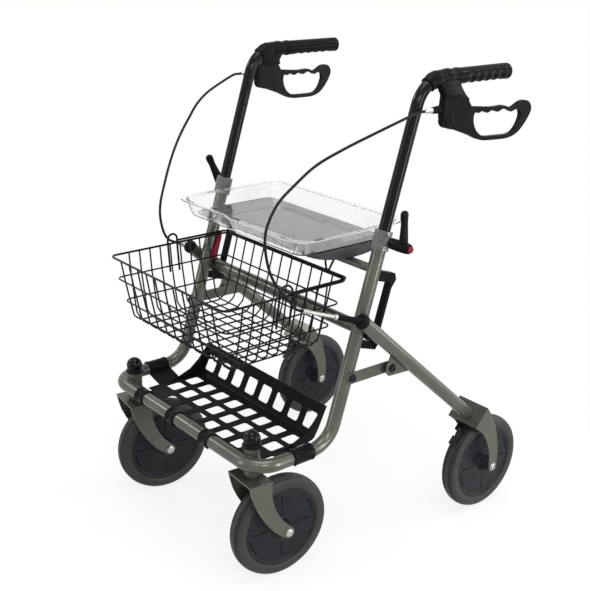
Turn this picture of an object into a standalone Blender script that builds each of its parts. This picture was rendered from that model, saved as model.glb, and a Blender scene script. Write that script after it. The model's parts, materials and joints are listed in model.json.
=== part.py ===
"""A four-wheel walker (rollator), every piece of it as a closed solid, in metres with +Z up.

The walker faces -Y, and +X is the user's left. One bent tube makes the two uprights, the deck
and the crossbar. The rear legs hang on a cross tube that slides up two guide rails, while two
flat links steer them, so that the walker folds. The zero of the drawing is moved at the end, so
that the world's origin lies on the floor under the middle of the walker's box.
"""
import math

import bmesh
import bpy
from mathutils import Matrix, Vector, geometry

CLEARANCE = 0.0003              # kept wherever two pieces touch
X_AXIS = Vector((1, 0, 0))

# Front frame: uprights, side runs and crossbar in one bent tube
TUBE = 0.0254                   # outside diameter of the frame's tubes
TUBE_SIDES = 12
UPRIGHT_X = 0.2395              # an upright from the middle of the walker
DECK_Z = 0.253                  # centre of the side runs and the crossbar
CROSSBAR_Y = -0.3205
DECK_BEND_Y = -0.1566           # where the line of the upright meets the side run
UPRIGHT_LEAN = math.radians(16.55)
UPRIGHT_LENGTH = 0.4006         # from the deck's line to the open top
DECK_BEND_RADIUS = 0.055
CORNER_RADIUS = 0.045
HANDLE_BORE_FLOOR = 0.152       # along the upright, where its bore ends

# Casters and wheels
WHEEL_RADIUS = 0.100
TYRE_WIDTH = 0.0325
WHEEL_SEGMENTS = 28
RIM_RADIUS = WHEEL_RADIUS - 0.0223      # the tyre is this deep
RIM_FACE = 0.0125               # half the thickness of the rim's flat web
CREASE_DEPTH = 0.0012           # the creases that run outwards in the web
CREASE_HALF_WIDTH = 0.0030
CREASE_START = 0.0300
CREASE_END = RIM_RADIUS - 0.0117
AXLE = 0.008
BOLT_HEAD = 0.013
BOLT_HEAD_HEIGHT = 0.0032
STEM_X = 0.198
STEM_Y = -0.300
STEM = 0.014
HOUSING = 0.030
HOUSING_BELOW = 0.032           # how far a housing reaches under the tube's centre
HOUSING_ABOVE = 0.018           # and above it
STEM_COLLAR = 0.022
CAP_HEIGHT = 0.037
CASTER_TRAIL = 0.0587           # axle behind the stem
FORK_DROP = WHEEL_RADIUS + 0.018        # axle below the fork's top plate
FORK_WIDTH = 0.075
FORK_SHEET = 0.003
SWIVEL_LEFT = math.radians(-4.7)
SWIVEL_RIGHT = math.radians(-7.5)

# Rear frame and the fold
LEG_X = 0.269
LEG_DROP = math.radians(41.6)   # below the horizontal, going back
PIVOT_ALONG = 0.2163            # the cross tube along the upright, unfolded
FOLD_TRAVEL = 0.0790            # how far the cross tube slides up
PIVOT_GAP = 0.002               # between an upright and the cross tube
LEG_FRONT = 0.0558              # length of a leg in front of the cross tube
BUSH_WALL = 0.0014
SLOT_SPARE = 0.002              # left free at both ends of a guide rail's slot
RAIL_WIDTH = 0.014
RAIL_BAR = 0.008
LINK_ALONG = 0.1322             # the links' lower pivots, along the upright
LINK_WIDTH = 0.022
LINK_SHEET = 0.003
LINK_BOLT = 0.008
FIN_ALONG = 0.0789              # the links' upper pivots from the cross tube, along a leg
FIN_BELOW = 0.0283              # and below the leg's centre
FIN_X = 0.2625
FIN_SHEET = 0.003
LATCH_ALONG = 0.2371
LATCH_BACK = 0.0055             # its pin behind the upright's middle
LATCH_RADIUS = 0.0080
LATCH_HEIGHT = 0.055
LATCH_SHEET = 0.006

# Handles, clamps and brakes
HANDLE_TUBE = 0.0222
HANDLE_INSERTION = 0.120
HANDLE_Z = 0.896
HANDLE_BEND_RADIUS = 0.060
GRIP_START = 0.1205
GRIP_END = 0.2535
GRIP = 0.0295
CLAMP_ALONG = UPRIGHT_LENGTH - 0.0155   # middle of the clamp along the upright
COLLAR = 0.0335
COLLAR_HEIGHT = 0.035
KNOB_START = 0.262
KNOB_END = 0.310
CLAMP_TURN = math.radians(-30)  # the right clamp is turned on its tube, to the rear
LEVER_LEAN = math.radians(21)   # and its lever leans forward, the left one stands up
BRAKE_PIVOT_Y = 0.070
BRAKE_PIVOT_Z = HANDLE_Z - 0.0705
BRAKE_PLANE_X = 0.2602          # the brake lever's plane where Y is nothing
BRAKE_SPLAY = math.radians(4.5)
LEVER_THICKNESS = 0.0090
CABLE = 0.005
BOOT_LENGTH = 0.050
# The tip of each cable's adjuster and the bow of its cable, both as if on the left
LEFT_TIP = (0.230, -0.2168, 0.5236)
LEFT_BOW = ((0.257, -0.027, 0.836), (0.240, -0.083, 0.813), (0.222, -0.133, 0.790),
            (0.206, -0.176, 0.766), (0.196, -0.212, 0.7365), (0.192, -0.243, 0.710),
            (0.191, -0.262, 0.681), (0.193, -0.272, 0.653), (0.198, -0.271, 0.614),
            (0.205, -0.263, 0.5815), (0.214, -0.246, 0.553))
RIGHT_TIP = (0.222, -0.1745, 0.5235)
RIGHT_BOW = ((0.258, -0.010, 0.8455), (0.252, -0.0445, 0.8336), (0.246, -0.0817, 0.818),
             (0.240, -0.1107, 0.799), (0.235, -0.133, 0.775), (0.230, -0.1573, 0.7453),
             (0.225, -0.177, 0.7157), (0.220, -0.194, 0.683), (0.216, -0.2077, 0.650),
             (0.211, -0.2194, 0.6214), (0.2075, -0.2243, 0.5962), (0.206, -0.2214, 0.5707),
             (0.207, -0.2137, 0.5503), (0.2105, -0.2015, 0.537))

# Seat, tray, basket and shelf
SEAT_TUBE = 0.016
SEAT_TUBE_ALONG = 0.3308        # along the upright
SEAT_HALF_WIDTH = 0.187
SEAT_FRONT = -0.155
SEAT_BACK = 0.035
SEAT_TOP = 0.597
SEAT_BOARD = 0.006
SEAT_WALL = 0.003
SEAT_SIDE_EDGE = ((-0.165, 0.0045), (-0.153, 0.0055), (-0.125, 0.0115), (-0.0965, 0.0160),
                  (-0.0655, 0.0175), (-0.043, 0.0165), (-0.022, 0.0140), (0.010, 0.0105),
                  (0.045, 0.0085))        # Y, and how deep the side hangs there
CLAW_X = 0.107                  # middle of a claw that grips the round bar
CLAW_WIDTH = 0.018
CLAW_WALL = 0.0055
TRAY_HALF_WIDTH = 0.195
TRAY_FRONT = -0.198
TRAY_BACK = 0.065
TRAY_DEPTH = 0.0317
TRAY_WALL = 0.0025
WIRE = 0.0032
RIM_WIRE = 0.0042
BASKET_RIM = (0.186, -0.3515, -0.0765, 0.5376)      # half width, front, back, height
BASKET_MIDDLE = (0.180, -0.343, -0.087, 0.4936)
BASKET_LOW = (0.170, -0.333, -0.0986, 0.449)
BASKET_FLOOR = (0.160, -0.324, -0.110, 0.410)
BASKET_PITCH_X = 0.0296
BASKET_PITCH_Y = 0.0235
BASKET_WIRES_X = 11
BASKET_WIRES_Y = 9
BASKET_CORNER = 0.008
HOOKS_X = (-0.163, 0.131)       # foot of each V hook, whose long arm goes over the round bar
HOOK_SPREAD = (0.0085, 0.0140)  # from the foot to the short arm's tip and to the long arm
SIDE_LOOP_X = 0.1905
SIDE_LOOPS = ((1, -0.237, -0.208), (-1, -0.2183, -0.1966))      # side, front and rear leg
SIDE_LOOP_FOOT = 0.480          # height where a side loop's legs end
SHELF_SHEET = 0.003
SHELF_FLOOR = 0.2365
SHELF_HALF_WIDTH = 0.188
SHELF_HOLE_PITCH = 0.0460
SHELF_HOLE_WIDTH = 0.031
SHELF_CLIPS = (-0.130, -0.019, 0.092)
CLIP_WIDTH = 0.024
CLIP_WALL = 0.0028


def finish(name, colour, roughness, metallic):
    """A plain material; colour is an sRGB hex string."""
    material = bpy.data.materials.new(name)
    material.use_nodes = True
    shader = material.node_tree.nodes["Principled BSDF"]
    channels = [int(colour[start:start + 2], 16) / 255 for start in (0, 2, 4)]
    linear = [c / 12.92 if c <= 0.04045 else ((c + 0.055) / 1.055) ** 2.4 for c in channels]
    shader.inputs["Base Color"].default_value = (*linear, 1)
    shader.inputs["Roughness"].default_value = roughness
    shader.inputs["Metallic"].default_value = metallic
    return material


def closed_mesh(bm, name="shape"):
    """Turn the bmesh into a mesh with its doubled points merged and its faces outwards."""
    bmesh.ops.remove_doubles(bm, verts=bm.verts[:], dist=1e-6)
    bmesh.ops.recalc_face_normals(bm, faces=bm.faces[:])
    mesh = bpy.data.meshes.new(name)
    bm.to_mesh(mesh)
    bm.free()
    return mesh


def loft(rings):
    """Skin rings of equally many points, in order, and fill the first and the last."""
    bm = bmesh.new()
    loops = [[bm.verts.new(point) for point in ring] for ring in rings]
    count = len(loops[0])
    for lower, upper in zip(loops, loops[1:]):
        for index in range(count):
            following = (index + 1) % count
            bm.faces.new((lower[index], lower[following], upper[following], upper[index]))
    bm.faces.new(loops[0])
    bm.faces.new(loops[-1])
    return closed_mesh(bm)


def sweep(points, diameters, sides=TUBE_SIDES, side=X_AXIS, turn=0.0):
    """A round bar along the points. Its first corner lies towards side, so bars line up."""
    if not isinstance(diameters, (list, tuple)):
        diameters = [diameters] * len(points)
    side = Vector(side)
    rings = []
    for index, point in enumerate(points):
        before = points[max(index - 1, 0)]
        after = points[min(index + 1, len(points) - 1)]
        tangent = (after - before).normalized()
        side = (side - tangent * side.dot(tangent)).normalized()
        up = tangent.cross(side)
        angles = [math.tau * corner / sides + turn for corner in range(sides)]
        radius = diameters[index] / 2
        rings.append([point + radius * (math.cos(a) * side + math.sin(a) * up) for a in angles])
    return loft(rings)


def rod(start, end, diameter, sides=TUBE_SIDES, side=X_AXIS):
    """A straight round bar between two points."""
    return sweep([Vector(start), Vector(end)], diameter, sides, side)


def bent_path(corners, radii, step=math.radians(17)):
    """The corner points, with each inner one rounded to its radius in steps of an angle."""
    points = [Vector(corners[0])]
    for before, corner, after, radius in zip(corners, corners[1:], corners[2:], radii):
        arriving = (Vector(corner) - Vector(before)).normalized()
        leaving = (Vector(after) - Vector(corner)).normalized()
        angle = arriving.angle(leaving)
        reach = radius * math.tan(angle / 2)
        inward = (leaving - arriving).normalized()
        centre = Vector(corner) + inward * (radius / math.cos(angle / 2))
        first = Vector(corner) - arriving * reach - centre
        normal = arriving.cross(leaving).normalized()
        count = max(2, round(angle / step))
        for index in range(count + 1):
            points.append(centre + Matrix.Rotation(angle * index / count, 3, normal) @ first)
    points.append(Vector(corners[-1]))
    return points


def smooth_curve(points, steps):
    """Points along a smooth curve that passes through all the given ones."""
    points = [Vector(point) for point in points]
    padded = [2 * points[0] - points[1], *points, 2 * points[-1] - points[-2]]
    curve = []
    for before, start, end, after in zip(padded, padded[1:], padded[2:], padded[3:]):
        first = start + (end - before) / 6
        second = end - (after - start) / 6
        curve += geometry.interpolate_bezier(start, first, second, end, steps + 1)[:-1]
    return curve + [points[-1]]


def even_points(points, spacing):
    """The same route with its points a steady distance apart."""
    lengths = [0.0]
    for first, second in zip(points, points[1:]):
        lengths.append(lengths[-1] + (second - first).length)
    count = round(lengths[-1] / spacing)
    result = []
    place_in = 0
    for index in range(count + 1):
        target = lengths[-1] * index / count
        while place_in < len(points) - 2 and lengths[place_in + 1] < target:
            place_in += 1
        share = (target - lengths[place_in]) / (lengths[place_in + 1] - lengths[place_in])
        result.append(points[place_in].lerp(points[place_in + 1], share))
    return result


def turned(profile, segments, closed=False, turn=0.0):
    """Turn (x, radius) pairs about the local X axis; a closed profile makes a ring."""
    bm = bmesh.new()
    start = Matrix.Rotation(turn, 3, "X")
    verts = [bm.verts.new(start @ Vector((x, 0, radius))) for x, radius in profile]
    edges = [bm.edges.new(pair) for pair in zip(verts, verts[1:])]
    if closed:
        edges.append(bm.edges.new((verts[-1], verts[0])))
    bmesh.ops.spin(bm, geom=verts + edges, cent=(0, 0, 0), axis=X_AXIS, dvec=(0, 0, 0),
                   angle=math.tau, steps=segments, use_merge=True, use_duplicate=False)
    return closed_mesh(bm)


def prism(outline, depth):
    """Push a flat outline along the vector depth."""
    bm = bmesh.new()
    face = bm.faces.new([bm.verts.new(point) for point in outline])
    made = bmesh.ops.extrude_face_region(bm, geom=[face])
    moved = [part for part in made["geom"] if isinstance(part, bmesh.types.BMVert)]
    bmesh.ops.translate(bm, verts=moved, vec=depth)
    return closed_mesh(bm)


def slab(outline, x_start, x_end):
    """A plate of an outline in (Y, Z) that lies between two values of X."""
    return prism([Vector((x_start, y, z)) for y, z in outline], Vector((x_end - x_start, 0, 0)))


def block(low, high):
    """A box between two corners."""
    low = Vector(low)
    high = Vector(high)
    return slab([(low.y, low.z), (high.y, low.z), (high.y, high.z), (low.y, high.z)], low.x, high.x)


def softened(mesh, width, segments=1, limit=math.radians(50)):
    """Bevel the edges that are sharper than the limit."""
    bm = bmesh.new()
    bm.from_mesh(mesh)
    sharp = [edge for edge in bm.edges if edge.calc_face_angle(0) > limit]
    bmesh.ops.bevel(bm, geom=sharp, offset=width, segments=segments, profile=0.5,
                    affect="EDGES", clamp_overlap=True)
    return closed_mesh(bm)


def combined(mesh, tools, operation):
    """Join the tool meshes on ("UNION") or cut them out ("DIFFERENCE"), one by one."""
    body = bpy.data.objects.new("body", mesh)
    bpy.context.collection.objects.link(body)
    helpers = [body]
    for tool in tools:
        helper = bpy.data.objects.new("tool", tool)
        bpy.context.collection.objects.link(helper)
        helpers.append(helper)
        modifier = body.modifiers.new("shape", "BOOLEAN")
        modifier.operation = operation
        modifier.object = helper
    evaluated = body.evaluated_get(bpy.context.evaluated_depsgraph_get())
    result = bpy.data.meshes.new_from_object(evaluated)
    for helper in helpers:
        bpy.data.objects.remove(helper)
    bm = bmesh.new()
    bm.from_mesh(result)
    bmesh.ops.dissolve_degenerate(bm, dist=1e-6, edges=bm.edges[:])
    return closed_mesh(bm)


def joined(mesh, *tools):
    """One body of the mesh and all the tools."""
    return combined(mesh, tools, "UNION")


def cut(mesh, *tools):
    """The mesh without what the tools cover."""
    return combined(mesh, tools, "DIFFERENCE")


def moved(mesh, matrix):
    """A copy of the mesh under the matrix, which may mirror it."""
    bm = bmesh.new()
    bm.from_mesh(mesh)
    bmesh.ops.transform(bm, matrix=matrix, verts=bm.verts[:])
    return closed_mesh(bm)


def shifted(mesh, x, y, z):
    """A copy of the mesh moved by x, y and z."""
    return moved(mesh, Matrix.Translation((x, y, z)))


def mirrored(mesh):
    """A copy of the mesh on the other side of the walker."""
    return moved(mesh, Matrix.Diagonal((-1, 1, 1, 1)))


def open_bore(diameter, sides=TUBE_SIDES):
    """Diameter of a many-sided bore whose flats clear a round pin of this diameter."""
    return (diameter + 2 * CLEARANCE) / math.cos(math.pi / sides)


def arc(centre, radius, start, end, count):
    """Points of an arc in the plane, from one angle in degrees to another."""
    angles = [math.radians(start + (end - start) * index / count) for index in range(count + 1)]
    return [(centre[0] + radius * math.cos(a), centre[1] + radius * math.sin(a)) for a in angles]


def rounded_rectangle(half_width, front, back, radius, steps=3):
    """Corner points of a rectangle in (X, Y) with rounded corners."""
    inner = half_width - radius
    return (arc((inner, back - radius), radius, 0, 90, steps)
            + arc((-inner, back - radius), radius, 90, 180, steps)
            + arc((-inner, front + radius), radius, 180, 270, steps)
            + arc((inner, front + radius), radius, 270, 360, steps))


def empty(name, location, rotation=(0, 0, 0), parent=None):
    """A guide point that carries the pieces of one moving group."""
    guide = bpy.data.objects.new(name, None)
    guide.empty_display_size = 0.03
    guide.location = location
    guide.rotation_euler = rotation
    guide.parent = parent
    bpy.context.collection.objects.link(guide)
    return guide


def place(name, mesh, material, location=(0, 0, 0), rotation=(0, 0, 0), parent=None):
    """Add a piece. Its mesh is drawn round its own origin, which is put at location."""
    if not mesh.materials:
        mesh.name = name
        mesh.materials.append(material)
        mesh.shade_smooth()
        mesh.set_sharp_from_angle(angle=math.radians(35))
    piece = bpy.data.objects.new(name, mesh)
    piece.location = location
    piece.rotation_euler = rotation
    piece.parent = parent or walker
    bpy.context.collection.objects.link(piece)
    return piece


def place_about(name, mesh, material, pivot, parent=None):
    """Add a piece drawn in the walker's own frame, with its origin moved to pivot."""
    pivot = Vector(pivot)
    return place(name, shifted(mesh, *-pivot), material, location=pivot, parent=parent)


def place_pair(name, mesh, material, pivot=(0, 0, 0)):
    """Add the left piece as drawn, and its mirror image on the right."""
    x, y, z = pivot
    place_about(name + "_left", mesh, material, (x, y, z))
    place_about(name + "_right", mirrored(mesh), material, (-x, y, z))


def on_upright(along, back=0.0, x=UPRIGHT_X):
    """A point along an upright from the deck's line, and square to it towards the rear."""
    lean = UPRIGHT_LEAN
    return Vector((x, DECK_BEND_Y + along * math.sin(lean) + back * math.cos(lean),
                   DECK_Z + along * math.cos(lean) - back * math.sin(lean)))


def upright_outline(points):
    """Turn (back, along) pairs beside the upright into (Y, Z) pairs."""
    return [on_upright(along, back).yz for back, along in points]


for leftover in list(bpy.data.objects):
    bpy.data.objects.remove(leftover)

frame_paint = finish("painted_steel", "7F7C72", 0.38, 0.75)
black_plastic = finish("black_plastic", "232427", 0.55, 0.0)
gloss_plastic = finish("gloss_black_plastic", "17181A", 0.22, 0.0)
grey_plastic = finish("dark_grey_plastic", "3C3E40", 0.6, 0.0)
rim_plastic = finish("rim_plastic", "3A3B3E", 0.5, 0.0)
tyre_rubber = finish("tyre_rubber", "6B6661", 0.75, 0.0)
grip_rubber = finish("grip_rubber", "2B2C2E", 0.7, 0.0)
handle_paint = finish("black_painted_steel", "1F2021", 0.35, 0.3)
wire_coat = finish("black_coated_wire", "18191B", 0.4, 0.2)
zinc = finish("zinc_plated_steel", "B9B9B4", 0.3, 0.9)
red_plastic = finish("red_plastic", "9C1F30", 0.4, 0.0)
clear_plastic = finish("clear_plastic", "E6EAEC", 0.1, 0.0)


# %% The rear legs are as long as it takes to stand their wheels on the floor
cross = on_upright(PIVOT_ALONG, TUBE + PIVOT_GAP, 0)
leg_down = Vector((0, math.cos(LEG_DROP), -math.sin(LEG_DROP)))
leg_up = Vector((0, math.sin(LEG_DROP), math.cos(LEG_DROP)))
wheel_reach = (cross.z - WHEEL_RADIUS - CASTER_TRAIL * leg_up.z) / -leg_down.z
leg_rear = wheel_reach - FORK_DROP - CLEARANCE


def on_leg(along, below=0.0, x=LEG_X):
    """A point along a rear leg from the cross tube, and square to it underneath."""
    return Vector((x, 0, 0)) + cross + leg_down * along - leg_up * below


rear_axle = on_leg(wheel_reach, CASTER_TRAIL)
walker = empty("walker", (0, 0, 0))

# %% Front frame: the long tube, the caster housings in its corners and the bores
upright_top = on_upright(UPRIGHT_LENGTH)
frame_corners = [upright_top,
                 Vector((UPRIGHT_X, DECK_BEND_Y, DECK_Z)),
                 Vector((UPRIGHT_X, CROSSBAR_Y, DECK_Z)),
                 Vector((-UPRIGHT_X, CROSSBAR_Y, DECK_Z)),
                 Vector((-UPRIGHT_X, DECK_BEND_Y, DECK_Z)),
                 Vector((-upright_top.x, upright_top.y, upright_top.z))]
frame_radii = [DECK_BEND_RADIUS, CORNER_RADIUS, CORNER_RADIUS, DECK_BEND_RADIUS]
frame_tube = sweep(bent_path(frame_corners, frame_radii), TUBE)
housing_bottom = DECK_Z - HOUSING_BELOW
housing_top = DECK_Z + HOUSING_ABOVE
housing = rod((STEM_X, STEM_Y, housing_bottom), (STEM_X, STEM_Y, housing_top), HOUSING, 16)
handle_bore = rod(on_upright(HANDLE_BORE_FLOOR), on_upright(UPRIGHT_LENGTH + 0.01),
                  HANDLE_TUBE + 2 * CLEARANCE)
stem_bore = rod((STEM_X, STEM_Y, housing_bottom - 0.01), (STEM_X, STEM_Y, housing_top + 0.01),
                open_bore(STEM))
link_pivot = on_upright(LINK_ALONG)
bolt_depth = 0.010
bolt_hole = rod(link_pivot + Vector((TUBE / 2 - bolt_depth, 0, 0)),
                link_pivot + Vector((TUBE, 0, 0)), open_bore(LINK_BOLT), side=(0, 0, 1))
frame_mesh = joined(frame_tube, housing, mirrored(housing))
frame_mesh = cut(frame_mesh, handle_bore, mirrored(handle_bore), stem_bore, mirrored(stem_bore),
                 bolt_hole, mirrored(bolt_hole))
place("front_frame", frame_mesh, frame_paint)

# %% The round bar under the seat, coped at both ends to the uprights
seat_axis = on_upright(SEAT_TUBE_ALONG)
upright_cope = rod(on_upright(SEAT_TUBE_ALONG - 0.03), on_upright(SEAT_TUBE_ALONG + 0.03),
                   TUBE + 2 * CLEARANCE)
seat_bar = rod((-UPRIGHT_X, seat_axis.y, seat_axis.z), (UPRIGHT_X, seat_axis.y, seat_axis.z),
               SEAT_TUBE, side=(0, 0, 1))
place("seat_support_tube", cut(seat_bar, upright_cope, mirrored(upright_cope)), frame_paint)

# %% Guide rails: a C of plastic behind each upright, whose slot holds the sliding bush
pivot_back = TUBE + PIVOT_GAP
bush_radius = TUBE / 2 + CLEARANCE + BUSH_WALL
slot_radius = bush_radius + CLEARANCE
slot_top = PIVOT_ALONG + FOLD_TRAVEL
seat_face = TUBE / 2 + CLEARANCE
slot_low = PIVOT_ALONG - slot_radius - SLOT_SPARE
slot_high = slot_top + slot_radius + SLOT_SPARE
slot_corner = 0.001
bar_face = pivot_back + slot_radius
rail_outline = ([(seat_face, PIVOT_ALONG - 0.0300), (bar_face + RAIL_BAR, PIVOT_ALONG - 0.0310),
                 (bar_face + RAIL_BAR + 0.0045, PIVOT_ALONG - 0.0180),
                 (bar_face + RAIL_BAR, PIVOT_ALONG + 0.0050),
                 (bar_face + RAIL_BAR, slot_top + 0.0070),
                 (bar_face + RAIL_BAR + 0.0065, slot_top + 0.0240),
                 (bar_face + RAIL_BAR, slot_top + 0.0350), (seat_face, slot_top + 0.0360),
                 (seat_face, slot_high), (bar_face - slot_corner, slot_high),
                 (bar_face, slot_high - slot_corner), (bar_face, slot_low + slot_corner),
                 (bar_face - slot_corner, slot_low), (seat_face, slot_low)])
rail = slab(upright_outline(rail_outline), UPRIGHT_X - RAIL_WIDTH / 2, UPRIGHT_X + RAIL_WIDTH / 2)
place_pair("guide_rail", rail, black_plastic)

# %% Rear frame: two legs, the cross tube, the fins with their bosses
leg = rod(on_leg(-LEG_FRONT), on_leg(leg_rear), TUBE)
cross_tube = rod((-LEG_X, cross.y, cross.z), (LEG_X, cross.y, cross.z), TUBE, side=(0, 0, 1))
fin_radius = 0.0155
fin_outline = ([(FIN_ALONG - 0.024, 0.004)]
               + arc((FIN_ALONG, FIN_BELOW), fin_radius, 190, 70, 8)
               + [(FIN_ALONG + 0.038, 0.0165), (FIN_ALONG + 0.055, 0.004)])
fin = slab([on_leg(along, below).yz for along, below in fin_outline], FIN_X, FIN_X + FIN_SHEET)
link_top = on_leg(FIN_ALONG, FIN_BELOW)
link_x = UPRIGHT_X + TUBE / 2 + 2 * CLEARANCE
boss_start = link_x + LINK_SHEET + CLEARANCE
fin_boss = rod((boss_start, link_top.y, link_top.z), (FIN_X + 0.001, link_top.y, link_top.z),
               0.014, side=(0, 0, 1))
fin_head = rod((FIN_X + 0.001, link_top.y, link_top.z),
               (FIN_X + FIN_SHEET + 0.003, link_top.y, link_top.z), 0.012, side=(0, 0, 1))
rear_mesh = joined(leg, fin, fin_boss, fin_head)
rear_mesh = joined(cross_tube, rear_mesh, mirrored(rear_mesh))
place_about("rear_frame", rear_mesh, frame_paint, cross)

# %% Bushes on the cross tube, which slide in the rails
bore_radius = open_bore(TUBE) / 2
bush_profile = [(-RAIL_WIDTH / 2, bore_radius), (RAIL_WIDTH / 2, bore_radius),
                (RAIL_WIDTH / 2, bush_radius), (-RAIL_WIDTH / 2, bush_radius)]
bush = turned(bush_profile, TUBE_SIDES, closed=True)
place("slide_bush_left", bush, black_plastic, (UPRIGHT_X, cross.y, cross.z))
place("slide_bush_right", bush, black_plastic, (-UPRIGHT_X, cross.y, cross.z))

# %% Links: flat bars from the uprights to the fins, each on a shouldered bolt
link_axis = (link_top - link_pivot).yz
link_length = link_axis.length
link_angle = math.atan2(link_axis.y, link_axis.x)
link_outline = (arc((0, 0), LINK_WIDTH / 2, 90, 270, 6)
                + arc((link_length, 0), LINK_WIDTH / 2, -90, 90, 6))
link = slab(link_outline, link_x, link_x + LINK_SHEET)
link_hole = rod((link_x - 0.01, 0, 0), (link_x + 0.01, 0, 0), open_bore(LINK_BOLT), side=(0, 0, 1))
rivet = rod((link_x - 0.0015, link_length, 0), (link_x + 0.001, link_length, 0), 0.011,
            side=(0, 0, 1))
link = joined(cut(link, link_hole), rivet)
link = moved(link, Matrix.Rotation(link_angle, 4, "X"))
place("link_left", link, frame_paint, (0, link_pivot.y, link_pivot.z))
place("link_right", mirrored(link), frame_paint, (0, link_pivot.y, link_pivot.z))
bolt_start = UPRIGHT_X + TUBE / 2 - bolt_depth + CLEARANCE
link_bolt = turned([(bolt_start, 0), (bolt_start, LINK_BOLT / 2),
                    (boss_start, LINK_BOLT / 2), (boss_start, BOLT_HEAD / 2),
                    (boss_start + 0.0025, BOLT_HEAD / 2), (boss_start + 0.004, BOLT_HEAD * 0.35),
                    (boss_start + 0.004, 0)], TUBE_SIDES)
place("link_bolt_left", link_bolt, zinc, (0, link_pivot.y, link_pivot.z))
place("link_bolt_right", mirrored(link_bolt), zinc, (0, link_pivot.y, link_pivot.z))

# %% Fork pressing: one banana-shaped profile pushed across, hollowed from below
fork_shares = [(0.00, -0.05, 0.0480), (0.27, 0.02, 0.0385), (0.55, 0.24, 0.0305),
               (0.82, 0.60, 0.0255), (1.00, 1.00, 0.0230)]
centre_line = smooth_curve([(0, trail * CASTER_TRAIL, -drop * FORK_DROP)
                            for drop, trail, width in fork_shares], 2)
widths = smooth_curve([(width, drop, 0) for drop, trail, width in fork_shares], 2)
front_edge = []
rear_edge = []
for index, centre in enumerate(centre_line):
    ahead = centre_line[min(index + 1, len(centre_line) - 1)]
    tangent = (ahead - centre_line[max(index - 1, 0)]).normalized()
    across = X_AXIS.cross(tangent) if index else Vector((0, 1, 0))
    front_edge.append((centre - across * widths[index].x / 2).yz)
    rear_edge.append((centre + across * widths[index].x / 2).yz)
axle_tangent = (centre_line[-1] - centre_line[-2]).normalized()
tip_angle = math.degrees(math.atan2(axle_tangent.z, axle_tangent.y))
fork_tip = arc((CASTER_TRAIL, -FORK_DROP), widths[-1].x / 2, tip_angle - 90, tip_angle + 90, 6)
fork_outline = front_edge[:-1] + fork_tip + rear_edge[-2::-1]
fork_shell = slab(fork_outline, -FORK_WIDTH / 2, FORK_WIDTH / 2)
fork_inside = FORK_WIDTH / 2 - FORK_SHEET
fork_hollow = block((-fork_inside, -0.1, -FORK_DROP - 0.05), (fork_inside, 0.2, -FORK_SHEET))
axle_hole = rod((-FORK_WIDTH, CASTER_TRAIL, -FORK_DROP), (FORK_WIDTH, CASTER_TRAIL, -FORK_DROP),
                open_bore(AXLE), side=(0, 0, 1))
fork_plate = cut(fork_shell, fork_hollow, axle_hole)

# %% Wheel: tyre, rim and axle bolt, drawn about a wheel centre with the axle along X
tyre_inner = RIM_RADIUS + CLEARANCE
half_tyre = TYRE_WIDTH / 2
tyre_shoulder = WHEEL_RADIUS - 0.0075
tyre_profile = [(-half_tyre * 0.9, tyre_inner), (half_tyre * 0.9, tyre_inner),
                (half_tyre, tyre_shoulder), (half_tyre * 0.7, WHEEL_RADIUS - 0.0016),
                (0, WHEEL_RADIUS), (-half_tyre * 0.7, WHEEL_RADIUS - 0.0016),
                (-half_tyre, tyre_shoulder)]
tyre = turned(tyre_profile, WHEEL_SEGMENTS, closed=True)
hub_half = fork_inside - CLEARANCE
hub_bore = open_bore(AXLE) / 2
half_rim = [(hub_half, hub_bore), (hub_half, 0.0090), (RIM_FACE, 0.0255),
            (RIM_FACE, RIM_RADIUS - 0.004), (half_tyre * 0.88, RIM_RADIUS)]
rim_profile = half_rim + [(-x, r) for x, r in reversed(half_rim)]
rim = turned(rim_profile, WHEEL_SEGMENTS, closed=True)
crease_cutters = []
for spoke in range(5):
    turn = Matrix.Rotation(math.tau * spoke / 5, 4, "X")
    for face in (RIM_FACE, -RIM_FACE):
        depth = math.copysign(CREASE_DEPTH, face)
        groove = prism([Vector((face + depth, -CREASE_HALF_WIDTH, CREASE_START)),
                        Vector((face + depth, CREASE_HALF_WIDTH, CREASE_START)),
                        Vector((face - depth, 0, CREASE_START))],
                       Vector((0, 0, CREASE_END - CREASE_START)))
        crease_cutters.append(moved(groove, turn))
rim = cut(rim, *crease_cutters)
bolt_reach = FORK_WIDTH / 2 + CLEARANCE
half_bolt = [(bolt_reach, AXLE / 2), (bolt_reach, BOLT_HEAD / 2),
             (bolt_reach + BOLT_HEAD_HEIGHT, BOLT_HEAD * 0.36), (bolt_reach + BOLT_HEAD_HEIGHT, 0)]
axle_bolt = turned([(-x, r) for x, r in reversed(half_bolt)] + half_bolt, 10)

# %% Front casters, turned on their stems as they stand in the photograph
fork_top = WHEEL_RADIUS + FORK_DROP
stem_top = housing_top - 0.012
stem = rod((0, 0, -FORK_SHEET / 2), (0, 0, stem_top - fork_top), STEM)
stem_collar = rod((0, 0, -FORK_SHEET / 3), (0, 0, housing_bottom - CLEARANCE - fork_top),
                  STEM_COLLAR)
caster_fork = joined(fork_plate, stem, stem_collar)
axle_spot = (0, CASTER_TRAIL, -FORK_DROP)
for side, x, swivel in (("left", STEM_X, SWIVEL_LEFT), ("right", -STEM_X, SWIVEL_RIGHT)):
    caster = empty("caster_" + side, (x, STEM_Y, fork_top), (0, 0, swivel), walker)
    place("caster_fork_" + side, caster_fork, frame_paint, parent=caster)
    place("front_tyre_" + side, tyre, tyre_rubber, axle_spot, parent=caster)
    place("front_rim_" + side, rim, rim_plastic, axle_spot, parent=caster)
    place("front_axle_" + side, axle_bolt, zinc, axle_spot, parent=caster)

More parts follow.
